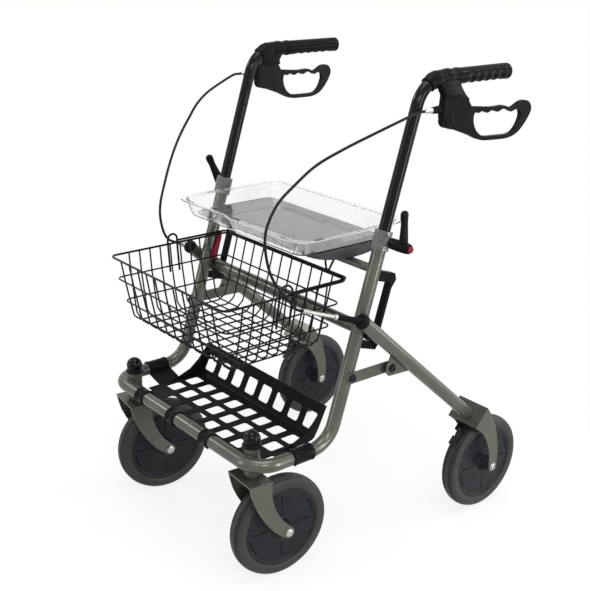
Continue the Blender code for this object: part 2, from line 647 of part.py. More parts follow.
cap_start = housing_top + CLEARANCE
cap = turned([(stem_top + 0.0015, 0), (stem_top + 0.0015, STEM / 2 - CLEARANCE),
              (cap_start, STEM / 2 - CLEARANCE), (cap_start, 0.0170), (cap_start + 0.003, 0.0170),
              (cap_start + 0.006, 0.0138), (cap_start + CAP_HEIGHT * 0.5, 0.0134),
              (cap_start + CAP_HEIGHT * 0.8, 0.0095), (cap_start + CAP_HEIGHT * 0.95, 0.0048),
              (cap_start + CAP_HEIGHT, 0)], 14)
cap = moved(cap, Matrix.Rotation(math.radians(-90), 4, "Y"))
place_pair("caster_cap", shifted(cap, STEM_X, STEM_Y, 0), gloss_plastic, (STEM_X, STEM_Y, 0))

# %% Rear forks: the same pressing turned round, square to the leg
fork_seat = on_leg(leg_rear + CLEARANCE)
rear_tilt = math.pi / 2 - LEG_DROP
brake_pin = 0.004
block_pin_y = 0.034
block_pin_z = -0.0095
slot_half = 0.005 + CLEARANCE
brake_block = block((-0.011, 0.006, -0.0155), (0.011, 0.040, -FORK_SHEET - CLEARANCE))
shoe_slot = block((-slot_half, 0.026, -0.03), (slot_half, 0.05, 0.01))
block_pin = rod((-0.008, block_pin_y, block_pin_z), (0.008, block_pin_y, block_pin_z), brake_pin,
                side=(0, 0, 1))
brake_block = joined(cut(softened(brake_block, 0.0015), shoe_slot), block_pin)
shoe_outline = (arc((0, 0), 0.0045, 60, 270, 7)
                + [(0.016, -0.0060), (0.035, -0.0060), (0.035, -0.0030), (0.022, 0.0005)])
shoe_tongue = slab(shoe_outline, -0.005, 0.005)
shoe_pad = slab([(0.0175, -0.0062), (0.0360, -0.0062), (0.0360, -0.0028), (0.0175, -0.0028)],
                -0.012, 0.012)
shoe_bore = rod((-0.02, 0, 0), (0.02, 0, 0), open_bore(brake_pin), side=(0, 0, 1))
brake_shoe = cut(joined(shoe_tongue, shoe_pad), shoe_bore)
for side, x in (("left", LEG_X), ("right", -LEG_X)):
    rear_fork = empty("rear_fork_guide_" + side, (x, fork_seat.y, fork_seat.z),
                      (-rear_tilt, 0, math.pi), walker)
    place("rear_fork_" + side, fork_plate, frame_paint, parent=rear_fork)
    place("brake_block_" + side, brake_block, black_plastic, parent=rear_fork)
    place("brake_shoe_" + side, brake_shoe, zinc, (0, block_pin_y, block_pin_z),
          parent=rear_fork)
    wheel_spot = (x, rear_axle.y, rear_axle.z)
    place("rear_tyre_" + side, tyre, tyre_rubber, wheel_spot)
    place("rear_rim_" + side, rim, rim_plastic, wheel_spot)
    place("rear_axle_" + side, axle_bolt, zinc, wheel_spot)

# %% Clamps round the tops of the uprights, with their levers and red end caps
clamp_axis = on_upright(CLAMP_ALONG)
collar_low = on_upright(CLAMP_ALONG - COLLAR_HEIGHT / 2)
collar_high = on_upright(CLAMP_ALONG + COLLAR_HEIGHT / 2)
collar = rod(collar_low, collar_high, COLLAR)
ear = rod((UPRIGHT_X + 0.008, clamp_axis.y, clamp_axis.z),
          (KNOB_START - CLEARANCE, clamp_axis.y, clamp_axis.z), 0.019, side=(0, 0, 1))
collar_bore = rod(on_upright(CLAMP_ALONG - COLLAR_HEIGHT), on_upright(UPRIGHT_LENGTH + CLEARANCE),
                  TUBE + 2 * CLEARANCE)
collar_mouth = rod(on_upright(CLAMP_ALONG), on_upright(CLAMP_ALONG + COLLAR_HEIGHT),
                   HANDLE_TUBE + 2 * CLEARANCE)
clamp_bolt = 0.0064
ear_face = UPRIGHT_X + TUBE / 2 + 0.002
ear_hole = rod((ear_face, clamp_axis.y, clamp_axis.z), (KNOB_END, clamp_axis.y, clamp_axis.z),
               open_bore(clamp_bolt), side=(0, 0, 1))
collar = cut(joined(collar, ear), collar_bore, collar_mouth, ear_hole)
knob = turned([(ear_face + CLEARANCE, 0), (ear_face + CLEARANCE, clamp_bolt / 2),
               (KNOB_START, clamp_bolt / 2), (KNOB_START, 0.0088), (KNOB_START + 0.003, 0.0100),
               (KNOB_END - 0.020, 0.0100), (KNOB_END - 0.012, 0.0086), (KNOB_END, 0.0080),
               (KNOB_END, 0)], TUBE_SIDES)
arm_outline = [(-0.0075, 0), (0.0075, 0), (0.0062, 0.0560)] + arc((0, 0.0590), 0.0060, 0, 180, 5)
knob_arm = slab(arm_outline + [(-0.0062, 0.0560)], KNOB_END - 0.0215, KNOB_END - 0.0130)
clamp_lever = joined(knob, knob_arm)
red_cap = turned([(KNOB_END + CLEARANCE, 0), (KNOB_END + CLEARANCE, 0.0080),
                  (KNOB_END + 0.0045, 0.0080), (KNOB_END + 0.0075, 0.0055),
                  (KNOB_END + 0.0085, 0)], TUBE_SIDES)
upright_line = on_upright(1) - on_upright(0)
for side, sign, clamp_turn, lever_lean in (("left", 1, 0, 0), ("right", -1, CLAMP_TURN, LEVER_LEAN)):
    turned_round = Matrix.Rotation(clamp_turn, 4, upright_line).to_euler()
    clamp = empty("clamp_" + side, (sign * UPRIGHT_X, clamp_axis.y, clamp_axis.z), turned_round,
                  walker)
    pieces = [shifted(collar, -UPRIGHT_X, -clamp_axis.y, -clamp_axis.z),
              shifted(clamp_lever, -UPRIGHT_X, 0, 0), shifted(red_cap, -UPRIGHT_X, 0, 0)]
    if sign < 0:
        pieces = [mirrored(piece) for piece in pieces]
    place("clamp_collar_" + side, pieces[0], black_plastic, parent=clamp)
    place("clamp_lever_" + side, pieces[1], black_plastic, rotation=(lever_lean, 0, 0),
          parent=clamp)
    place("clamp_cap_" + side, pieces[2], red_plastic, parent=clamp)

# %% Handle tubes, which slide in the uprights, and their grips
handle_foot = on_upright(UPRIGHT_LENGTH - HANDLE_INSERTION)
handle_corner = on_upright((HANDLE_Z - DECK_Z) / math.cos(UPRIGHT_LEAN))
grip_floor = GRIP_END - 0.005
handle_path = bent_path([handle_foot, handle_corner, Vector((UPRIGHT_X, grip_floor, HANDLE_Z))],
                        [HANDLE_BEND_RADIUS], math.radians(11))
place_pair("handle_tube", sweep(handle_path, HANDLE_TUBE), handle_paint, handle_foot)


def grip_ring(y, share, dent):
    """A ring of the grip; dent draws in its lower outer side, where the fingers lie."""
    ring = []
    for corner in range(TUBE_SIDES):
        angle = math.tau * corner / TUBE_SIDES
        facing = max(0.0, math.cos(angle + math.radians(50)))
        radius = GRIP / 2 * share - dent * facing
        ring.append(Vector((UPRIGHT_X + radius * math.cos(angle), y,
                            HANDLE_Z + radius * math.sin(angle))))
    return ring


finger_pitch = 0.0200
finger_start = GRIP_START + 0.016
grip_rings = [grip_ring(GRIP_START, 0.96, 0), grip_ring(GRIP_START + 0.003, 1.0, 0)]
for finger in range(5):
    crest = finger_start + finger_pitch * finger
    grip_rings.append(grip_ring(crest, 1.0, 0))
    grip_rings.append(grip_ring(crest + finger_pitch / 2, 1.0, 0.0022))
grip_rings += [grip_ring(finger_start + finger_pitch * 5, 1.0, 0),
               grip_ring(GRIP_END - 0.004, 1.03, 0), grip_ring(GRIP_END, 0.86, 0)]
grip_bore = rod((UPRIGHT_X, GRIP_START - 0.01, HANDLE_Z),
                (UPRIGHT_X, grip_floor + CLEARANCE, HANDLE_Z), HANDLE_TUBE + 2 * CLEARANCE)
place_pair("grip", cut(loft(grip_rings), grip_bore), grip_rubber, (UPRIGHT_X, GRIP_START, HANDLE_Z))

# %% Brake housings: a sleeve on the bend, a leaning neck and two cheeks round the lever
sleeve_end = GRIP_START - 0.0015
sleeve_path = [point for point in handle_path[:-1] if point.y > handle_corner.y + 0.0105]
sleeve_path.append(Vector((UPRIGHT_X, sleeve_end, HANDLE_Z)))
sleeve = sweep(sleeve_path, 0.0310)
brake_pivot = Vector((BRAKE_PLANE_X + math.tan(BRAKE_SPLAY) * BRAKE_PIVOT_Y,
                      BRAKE_PIVOT_Y, BRAKE_PIVOT_Z))
brake_frame = Matrix.Translation(brake_pivot) @ Matrix.Rotation(-BRAKE_SPLAY, 4, "Z")
lever_x = BRAKE_PLANE_X + math.tan(BRAKE_SPLAY) * 0.09


def neck_ring(z, x, half, front, back):
    """A ring of the housing at height z, turned outwards like the lever's plane."""
    ring = []
    for across, y in rounded_rectangle(half, front, back, 0.0035, 1):
        ring.append(Vector((x + across + math.tan(BRAKE_SPLAY) * (y - 0.09), y, z)))
    return ring


neck = loft([neck_ring(HANDLE_Z - 0.004, UPRIGHT_X + 0.004, 0.0100, 0.054, 0.114),
             neck_ring(HANDLE_Z - 0.0180, lever_x - 0.0140, 0.0095, 0.047, 0.113),
             neck_ring(HANDLE_Z - 0.0305, lever_x - 0.0045, 0.0088, 0.052, 0.117),
             neck_ring(HANDLE_Z - 0.0400, lever_x - 0.0006, 0.0084, 0.055, 0.122),
             neck_ring(HANDLE_Z - 0.0540, lever_x, 0.0084, 0.0562, 0.130),
             neck_ring(HANDLE_Z - 0.0830, lever_x, 0.0080, 0.0565, 0.128)])
cable_start = Vector((0.264, 0.015, HANDLE_Z - 0.0495))
ferrule = rod(cable_start, cable_start + Vector((0, 0.026, 0)), 0.0080, 10)
ferrule_seat = rod(cable_start + Vector((0, 0.018, 0)), cable_start + Vector((0, 0.046, 0)), 0.0115,
                   10)
cheek_gap = LEVER_THICKNESS / 2 + CLEARANCE
lever_slot = slab([(-0.0108, -0.03), (-0.0108, 0.0145), (0.0200, 0.0290), (0.0450, 0.0345),
                   (0.0800, 0.0345), (0.0800, -0.03)], -cheek_gap, cheek_gap)
lever_pin = 0.006
pin = rod((-cheek_gap - 0.002, 0, 0), (cheek_gap + 0.002, 0, 0), lever_pin, side=(0, 0, 1))
sleeve_bore = sweep(handle_path[:-1] + [Vector((UPRIGHT_X, GRIP_END, HANDLE_Z))],
                    HANDLE_TUBE + 2 * CLEARANCE)
brake_body = cut(joined(sleeve, neck, ferrule_seat, ferrule), sleeve_bore,
                 moved(lever_slot, brake_frame))
brake_body = joined(brake_body, moved(pin, brake_frame))
place_pair("brake_body", brake_body, black_plastic, (UPRIGHT_X, BRAKE_PIVOT_Y, HANDLE_Z))

# %% Brake levers: a closed loop with a hooked end, drawn about its pin
loop_outside = [(0.0226, -0.0190), (0.0506, -0.0290), (0.0718, -0.0382), (0.0900, -0.0430),
                (0.1473, -0.0452), (0.1660, -0.0415), (0.1894, -0.0299), (0.2050, -0.0090),
                (0.2094, 0.0030), (0.2030, 0.0165), (0.1860, 0.0221), (0.1690, 0.0165),
                (0.1539, 0.0097), (0.1334, 0.0172), (0.1050, 0.0160), (0.0565, 0.0205),
                (0.0250, 0.0145)]
loop_inside = [(0.0665, 0.0110), (0.0610, 0.0046), (0.0650, -0.0166), (0.0934, -0.0345),
               (0.1600, -0.0374), (0.1760, -0.0200), (0.1810, -0.0060), (0.1706, 0.0067),
               (0.1550, 0.0030), (0.1334, 0.0100)]
tongue = arc((0, 0), 0.0105, 100, 245, 5)
outside = [(point.y, point.z) for point in smooth_curve([(0, y, z) for y, z in loop_outside], 2)]
lever = slab(tongue + outside, -LEVER_THICKNESS / 2, LEVER_THICKNESS / 2)
lever_window = slab(loop_inside, -LEVER_THICKNESS, LEVER_THICKNESS)
lever_bore = rod((-LEVER_THICKNESS, 0, 0), (LEVER_THICKNESS, 0, 0), open_bore(lever_pin),
                 side=(0, 0, 1))
lever = cut(lever, lever_window, lever_bore)
place("brake_lever_left", lever, black_plastic, brake_pivot, (0, 0, -BRAKE_SPLAY))
place("brake_lever_right", mirrored(lever), black_plastic,
      (-brake_pivot.x, brake_pivot.y, brake_pivot.z), (0, 0, BRAKE_SPLAY))

# %% Leg caps with the cable's boot, the adjusters, and the cables in their long bows
leg_end = on_leg(-LEG_FRONT - CLEARANCE)
leg_cap = sweep([leg_end, on_leg(-LEG_FRONT - 0.005), on_leg(-LEG_FRONT - 0.009)],
                [0.0282, 0.0282, 0.020])
leg_side = rod(leg_end, on_leg(0), 2 * TUBE)
boot_root = on_leg(-LEG_FRONT - 0.003)
for side, sign, tip, bow in (("left", 1, LEFT_TIP, LEFT_BOW), ("right", -1, RIGHT_TIP, RIGHT_BOW)):
    mirror = Matrix.Diagonal((sign, 1, 1, 1))
    tip = Vector(tip)
    boot_line = (tip - boot_root).normalized()
    boot_end = boot_root + boot_line * BOOT_LENGTH
    boot = sweep([boot_root, boot_root + boot_line * BOOT_LENGTH / 2, boot_end],
                 [0.0150, 0.0120, 0.0100], 10)
    cap_and_boot = cut(joined(leg_cap, boot), leg_side)
    place_about("leg_cap_" + side, moved(cap_and_boot, mirror), black_plastic, mirror @ leg_end)
    collar_end = boot_end + boot_line * 0.004
    nut_start = tip - boot_line * 0.014
    adjuster = sweep([boot_end + boot_line * CLEARANCE, collar_end, collar_end + boot_line * 0.0005,
                      nut_start, nut_start + boot_line * 0.0005, tip],
                     [0.0110, 0.0110, 0.0070, 0.0070, 0.0090, 0.0080], 10)
    place_about("cable_adjuster_" + side, moved(adjuster, mirror), zinc, mirror @ tip)
    straight_end = cable_start - Vector((0, 0.012, 0))
    knots = even_points(smooth_curve([straight_end, *bow, tip + boot_line * 0.012], 6), CABLE * 3)
    knots = [cable_start - Vector((0, CLEARANCE, 0)), *knots, tip + boot_line * CLEARANCE]
    curve = bpy.data.curves.new("brake_cable_" + side, "CURVE")
    curve.dimensions = "3D"
    curve.bevel_depth = CABLE / 2
    curve.bevel_resolution = 2
    curve.use_fill_caps = True
    spline = curve.splines.new("POLY")
    spline.points.add(len(knots) - 1)
    for knot, point in zip(knots, spline.points):
        point.co = (knot.x * sign, knot.y, knot.z, 1)
    curve.materials.append(black_plastic)
    cable = bpy.data.objects.new("brake_cable_" + side, curve)
    cable.parent = walker
    bpy.context.collection.objects.link(cable)

# %% The red latch lever on the inner side of the right upright
latch_outline = (arc((LATCH_BACK, 0), LATCH_RADIUS, 170, 350, 6)
                 + [(LATCH_BACK + LATCH_RADIUS, LATCH_HEIGHT * 0.68),
                    (LATCH_BACK + LATCH_RADIUS * 0.8, LATCH_HEIGHT * 0.92),
                    (LATCH_BACK + LATCH_RADIUS * 0.4, LATCH_HEIGHT),
                    (LATCH_BACK - LATCH_RADIUS * 0.1, LATCH_HEIGHT * 0.94),
                    (LATCH_BACK - LATCH_RADIUS * 0.5, LATCH_HEIGHT * 0.45)])
latch_face = -(UPRIGHT_X - TUBE / 2 - CLEARANCE)
latch = slab(upright_outline([(back, LATCH_ALONG + along) for back, along in latch_outline]),
             latch_face, latch_face + LATCH_SHEET)
latch_pivot = on_upright(LATCH_ALONG, LATCH_BACK, latch_face)
latch_head = rod(latch_pivot + Vector((LATCH_SHEET / 2, 0, 0)),
                 latch_pivot + Vector((LATCH_SHEET + 0.003, 0, 0)), 0.011, side=(0, 0, 1))
place_about("latch_lever", joined(softened(latch, 0.001), latch_head), red_plastic, latch_pivot)

# %% Seat: a shallow shell with a bellied edge, a hand slot and two claws on the round bar
seat_depth = max(depth for y, depth in SEAT_SIDE_EDGE)
seat_bottom = SEAT_TOP - seat_depth


def seat_ring(z, inset):
    """The seat's outline at height z, drawn in by inset."""
    return [Vector((x, y, z)) for x, y in rounded_rectangle(
        SEAT_HALF_WIDTH - inset, SEAT_FRONT + inset, SEAT_BACK - inset, 0.022 - inset)]


seat = loft([seat_ring(seat_bottom, 0), seat_ring(SEAT_TOP - 0.002, 0), seat_ring(SEAT_TOP, 0.002)])
seat_hollow = loft([seat_ring(seat_bottom - 0.01, SEAT_WALL),
                    seat_ring(SEAT_TOP - SEAT_BOARD, SEAT_WALL)])
belly = [(y, SEAT_TOP - depth) for y, depth in SEAT_SIDE_EDGE]
under = slab([(belly[0][0], seat_bottom - 0.02), (belly[-1][0], seat_bottom - 0.02)]
             + belly[::-1], -UPRIGHT_X, UPRIGHT_X)
claw_radius = SEAT_TUBE / 2 + CLAW_WALL
claw_outline = (arc((seat_axis.y, seat_axis.z), claw_radius, 180, 360, 8)
                + [(seat_axis.y + claw_radius, SEAT_TOP - SEAT_BOARD / 2),
                   (seat_axis.y - claw_radius, SEAT_TOP - SEAT_BOARD / 2)])
claw = slab(claw_outline, CLAW_X - CLAW_WIDTH / 2, CLAW_X + CLAW_WIDTH / 2)
claw_bore = rod((-UPRIGHT_X, seat_axis.y, seat_axis.z), (UPRIGHT_X, seat_axis.y, seat_axis.z),
                open_bore(SEAT_TUBE), side=(0, 0, 1))
mouth_half = SEAT_TUBE * 0.41
claw_mouth = block((-UPRIGHT_X, seat_axis.y - mouth_half, seat_axis.z - 2 * claw_radius),
                   (UPRIGHT_X, seat_axis.y + mouth_half, seat_axis.z))
hand_slot = loft([[Vector((x, y, z)) for x, y in rounded_rectangle(0.085, SEAT_FRONT + 0.017,
                                                                   SEAT_FRONT + 0.043, 0.010)]
                  for z in (SEAT_TOP - 0.02, SEAT_TOP + 0.02)])
seat = cut(seat, seat_hollow, under, hand_slot)
seat = cut(joined(seat, claw, mirrored(claw)), claw_bore, claw_mouth)
place_about("seat_board", seat, grey_plastic, (0, seat_axis.y, seat_axis.z))

# %% Tray: a clear drafted shell with a flat rim, which lies on the seat
tray_bottom = SEAT_TOP + CLEARANCE
tray_top = tray_bottom + TRAY_DEPTH


def tray_ring(z, inset, radius):
    """The tray's outline at height z, drawn in by inset."""
    return [Vector((x, y, z)) for x, y in rounded_rectangle(
        TRAY_HALF_WIDTH - inset, TRAY_FRONT + inset, TRAY_BACK - inset, radius)]


place("tray", loft([tray_ring(tray_bottom, 0.019, 0.024),
                    tray_ring(tray_top - TRAY_WALL, 0.008, 0.030),
                    tray_ring(tray_top - TRAY_WALL, 0, 0.034),
                    tray_ring(tray_top, 0, 0.034),
                    tray_ring(tray_top, 0.008 + TRAY_WALL, 0.028),
                    tray_ring(tray_bottom + TRAY_WALL, 0.019 + TRAY_WALL, 0.022)]), clear_plastic)

# %% Basket: a sheet of cells whose edges become wires


def corner_offset(normal, first, second):
    """Step into the corner between two edge directions, one unit from both edges."""
    first_inward = normal.cross(first).normalized()
    second_inward = second.cross(normal).normalized()
    return (first_inward + second_inward) / (1 + first_inward.dot(second_inward))


def wire_net(bm, diameter):
    """Turn every edge of an open sheet of cells into a wire of four-sided section."""
    bmesh.ops.recalc_face_normals(bm, faces=bm.faces[:])
    bm.normal_update()
    radius = diameter / 2
    net = bmesh.new()
    outer = {vert: net.verts.new(vert.co + vert.normal * radius) for vert in bm.verts}
    inner = {vert: net.verts.new(vert.co - vert.normal * radius) for vert in bm.verts}

    def wire_side(start, end, start_side, end_side):
        net.faces.new((outer[start], outer[end], end_side, start_side))
        net.faces.new((inner[end], inner[start], start_side, end_side))

    for face in bm.faces:
        corners = []
        for loop in face.loops:
            here = loop.vert
            onward = (loop.link_loop_next.vert.co - here.co).normalized()
            back = (loop.link_loop_prev.vert.co - here.co).normalized()
            step = corner_offset(here.normal, onward, back)
            corners.append(net.verts.new(here.co + step * radius))
        verts = [loop.vert for loop in face.loops]
        for index, vert in enumerate(verts):
            following = (index + 1) % len(verts)
            wire_side(vert, verts[following], corners[index], corners[following])

    rim_loops = [edge.link_loops[0] for edge in bm.edges if edge.is_boundary]
    onward_of = {loop.vert: (loop.link_loop_next.vert.co - loop.vert.co).normalized()
                 for loop in rim_loops}
    back_of = {loop.link_loop_next.vert: (loop.vert.co - loop.link_loop_next.vert.co).normalized()
               for loop in rim_loops}
    rim_sides = {}
    for vert in onward_of:
        step = corner_offset(vert.normal, back_of[vert], onward_of[vert])
        rim_sides[vert] = net.verts.new(vert.co + step * radius)
    for loop in rim_loops:
        start = loop.vert
        end = loop.link_loop_next.vert
        wire_side(end, start, rim_sides[end], rim_sides[start])
    return closed_mesh(net)


wires_x = [BASKET_PITCH_X * (index - (BASKET_WIRES_X - 1) / 2) for index in range(BASKET_WIRES_X)]
floor_middle = (BASKET_FLOOR[1] + BASKET_FLOOR[2]) / 2
wires_y = [floor_middle + BASKET_PITCH_Y * (index - (BASKET_WIRES_Y - 1) / 2)
           for index in range(BASKET_WIRES_Y)]


def basket_loop(level):
    """Points round the basket at one height: front, left, back and right wall in turn."""
    half, front, back, z = level
    clip = BASKET_CORNER
    return [[(x, front, z) for x in wires_x],
            [(half - clip, front, z), (half, front + clip, z)],
            [(half, y, z) for y in wires_y],
            [(half, back - clip, z), (half - clip, back, z)],
            [(x, back, z) for x in reversed(wires_x)],
            [(-half + clip, back, z), (-half, back - clip, z)],
            [(-half, y, z) for y in reversed(wires_y)],
            [(-half, front + clip, z), (-half + clip, front, z)]]


basket_bm = bmesh.new()
levels = []
for level in (BASKET_RIM, BASKET_MIDDLE, BASKET_LOW):
    levels.append([[basket_bm.verts.new(point) for point in wall] for wall in basket_loop(level)])
crossings = [[basket_bm.verts.new((x, y, BASKET_FLOOR[3])) for y in wires_y] for x in wires_x]
bend_level = [low + (floor - low) * 0.7 for low, floor in zip(BASKET_LOW, BASKET_FLOOR)]
bends = [[basket_bm.verts.new(point) for point in wall] if number % 2 == 0 else []
         for number, wall in enumerate(basket_loop(bend_level))]
first_rows = [[row[0] for row in crossings], crossings[-1],
              [row[-1] for row in reversed(crossings)], list(reversed(crossings[0]))]
for upper, lower in zip(levels, levels[1:]):
    for number in range(0, 8, 2):
        for index in range(len(upper[number]) - 1):
            basket_bm.faces.new((upper[number][index], upper[number][index + 1],
                                 lower[number][index + 1], lower[number][index]))
        following = (number + 2) % 8
        basket_bm.faces.new([upper[number][-1], *upper[number + 1], upper[following][0],
                             lower[following][0], *reversed(lower[number + 1]),
                             lower[number][-1]])
for wall in range(4):
    number = wall * 2
    low = levels[-1][number]
    bend = bends[number]
    row = first_rows[wall]
    for index in range(len(low) - 1):
        basket_bm.faces.new((low[index], low[index + 1], bend[index + 1], row[index + 1],
                             row[index], bend[index]))
    following = (number + 2) % 8
    basket_bm.faces.new([low[-1], *levels[-1][number + 1], levels[-1][following][0],
                         bends[following][0], row[-1], bend[-1]])
for first, second in zip(crossings, crossings[1:]):
    for index in range(len(first) - 1):
        basket_bm.faces.new((first[index], first[index + 1], second[index + 1], second[index]))
place("basket", wire_net(basket_bm, WIRE), wire_coat)

# %% Hanger: a heavier wire round the basket's rear half, with two hooks over the round bar
hanger_z = BASKET_RIM[3] + WIRE * 0.6 + RIM_WIRE / 2 + CLEARANCE
hanger_half = BASKET_RIM[0] + 0.002
hanger_corners = [Vector((-hanger_half, SIDE_LOOPS[1][2], hanger_z)),
                  Vector((-hanger_half, BASKET_RIM[2], hanger_z)),
                  Vector((hanger_half, BASKET_RIM[2], hanger_z)),
                  Vector((hanger_half, SIDE_LOOPS[0][2], hanger_z))]
hanger = sweep(bent_path(hanger_corners, [0.012, 0.012], math.radians(30)), RIM_WIRE, 6,
               (0, 0, 1))
hook_radius = SEAT_TUBE / 2 + CLEARANCE + 0.0005 + RIM_WIRE / 2
hook_arc = arc((seat_axis.y, seat_axis.z), hook_radius, 195, -20, 7)
hanger_parts = []
for foot in HOOKS_X:
    long_x = foot + HOOK_SPREAD[1]
    bow_start = Vector((long_x, *hook_arc[0]))
    hook_foot = Vector((foot, BASKET_RIM[2] + 0.0007, hanger_z + 0.0011))
    long_arm = bow_start - hook_foot
    hanger_parts.append(sweep(
        [Vector((foot - HOOK_SPREAD[0], BASKET_RIM[2], hanger_z + 0.027)),
         hook_foot - X_AXIS * RIM_WIRE / 2, hook_foot + X_AXIS * RIM_WIRE / 2,
         bow_start + long_arm.normalized() * 0.0008], RIM_WIRE, 6, (0, 1, 0)))
    hanger_parts.append(sweep([Vector((long_x, y, z)) for y, z in hook_arc], RIM_WIRE, 6))
wall_drop = (BASKET_RIM[3] - SIDE_LOOP_FOOT) / (BASKET_RIM[3] - BASKET_MIDDLE[3])
foot_x = SIDE_LOOP_X - (BASKET_RIM[0] - BASKET_MIDDLE[0]) * wall_drop
for side, front, rear in SIDE_LOOPS:
    middle = (front + rear) / 2
    bow = (rear - front) / 2
    loop_path = [Vector((side * foot_x, rear, SIDE_LOOP_FOOT)),
                 Vector((side * SIDE_LOOP_X, rear, BASKET_RIM[3]))]
    loop_path += [Vector((side * SIDE_LOOP_X, y, z))
                  for y, z in arc((middle, BASKET_RIM[3] + 0.007), bow, 0, 180, 5)]
    loop_path += [Vector((side * SIDE_LOOP_X, front, BASKET_RIM[3])),
                  Vector((side * foot_x, front, SIDE_LOOP_FOOT))]
    hanger_parts.append(sweep(loop_path, RIM_WIRE, 6))
place("basket_hanger", joined(hanger, *hanger_parts), wire_coat)

# %% Shelf: a moulded sheet with rows of holes, clipped to the crossbar and the side runs


def strip(points, thickness):
    """The outline of a bent sheet whose middle runs through the (Y, Z) points."""
    middle = [Vector(point) for point in points]
    upper = []
    lower = []
    for index, point in enumerate(middle):
        before = middle[max(index - 1, 0)]
        after = middle[min(index + 1, len(middle) - 1)]
        tangent = (after - before).normalized()
        normal = Vector((-tangent.y, tangent.x)) * thickness / 2
        upper.append(tuple(point + normal))
        lower.append(tuple(point - normal))
    return upper + lower[::-1]


shelf_middle = [(CROSSBAR_Y + 0.0190, DECK_Z + 0.003), (CROSSBAR_Y + 0.0225, 0.2400),
                (CROSSBAR_Y + 0.0325, SHELF_FLOOR), (-0.160, SHELF_FLOOR), (-0.148, 0.2400),
                (-0.138, 0.2560), (-0.118, 0.2980)]
shelf = slab(strip(shelf_middle, SHELF_SHEET), -SHELF_HALF_WIDTH, SHELF_HALF_WIDTH)
corner_cut = block((0.172, -0.32, 0.20), (0.25, -0.272, 0.30))
holes_x = [SHELF_HOLE_PITCH * (index - 3.5) for index in range(8)]


def hole_cutter(x, y, length):
    """A cutter for a hole with rounded corners in the shelf's floor."""
    rings = []
    for z in (SHELF_FLOOR - 0.01, SHELF_FLOOR + 0.01):
        rings.append([Vector((x + across, y + along, z)) for across, along in rounded_rectangle(
            SHELF_HOLE_WIDTH / 2, -length / 2, length / 2, 0.007, 1)])
    return loft(rings)


def gathered(meshes):
    """One mesh of several separate cutters."""
    bm = bmesh.new()
    for mesh in meshes:
        bm.from_mesh(mesh)
    return closed_mesh(bm)


floor_holes = [hole_cutter(x, y, 0.034) for x in holes_x for y in (-0.178, -0.223)]
floor_holes += [hole_cutter(x, -0.266, 0.030) for x in holes_x[1:-1]]
wall_holes = []
for x in holes_x:
    outline = [(x + across, 0.2635 + up) for across, up in rounded_rectangle(
        SHELF_HOLE_WIDTH / 2, -0.0175, 0.0175, 0.007, 1)]
    wall_holes.append(prism([Vector((px, -0.165, pz)) for px, pz in outline],
                            Vector((0, 0.06, 0))))
shelf = cut(shelf, corner_cut, mirrored(corner_cut), gathered(floor_holes), gathered(wall_holes))
clip_inner = TUBE / 2 + CLEARANCE
clip_outer = clip_inner + CLIP_WALL
clip_flats = clip_inner / math.cos(math.radians(255 / 9 / 2))
clip_parts = []
for x in SHELF_CLIPS:
    ring = (arc((CROSSBAR_Y, DECK_Z), clip_outer, -15, 240, 9)
            + arc((CROSSBAR_Y, DECK_Z), clip_flats, 240, -15, 9))
    clip_parts.append(slab(ring, x - CLIP_WIDTH / 2, x + CLIP_WIDTH / 2))
    clip_parts.append(block(
        (x - CLIP_WIDTH / 2 + 0.001, CROSSBAR_Y + clip_inner + 0.001, DECK_Z - 0.004),
        (x + CLIP_WIDTH / 2 - 0.001, CROSSBAR_Y + 0.0198, DECK_Z + 0.003)))
side_ring = (arc((UPRIGHT_X, DECK_Z), clip_flats, 205, -50, 9)
             + arc((UPRIGHT_X, DECK_Z), clip_outer, -50, 205, 9))
side_clip = prism([Vector((x, -0.245, z)) for x, z in side_ring], Vector((0, 0.045, 0)))
flap = prism([Vector((x, -0.248, z)) for x, z in
              [(SHELF_HALF_WIDTH - 0.004, SHELF_FLOOR - SHELF_SHEET / 2 + 0.0004),
               (SHELF_HALF_WIDTH - 0.004, SHELF_FLOOR + SHELF_SHEET / 2 - 0.0004),
               (UPRIGHT_X - clip_inner - 0.001, DECK_Z - 0.0035),
               (UPRIGHT_X - clip_inner - 0.001, DECK_Z - 0.0075)]], Vector((0, 0.051, 0)))
shelf = joined(shelf, *clip_parts)
shelf = joined(shelf, flap, mirrored(flap))
shelf = joined(shelf, side_clip, mirrored(side_clip))
place("shelf", shelf, black_plastic)

# %% Bring the middle of the walker's box over the origin
bpy.context.view_layer.update()
corners = [piece.matrix_world @ vertex.co for piece in walker.children_recursive
           if piece.type == "MESH" for vertex in piece.data.vertices]
for axis in (0, 1):
    reach = [corner[axis] for corner in corners]
    walker.location[axis] = -(min(reach) + max(reach)) / 2
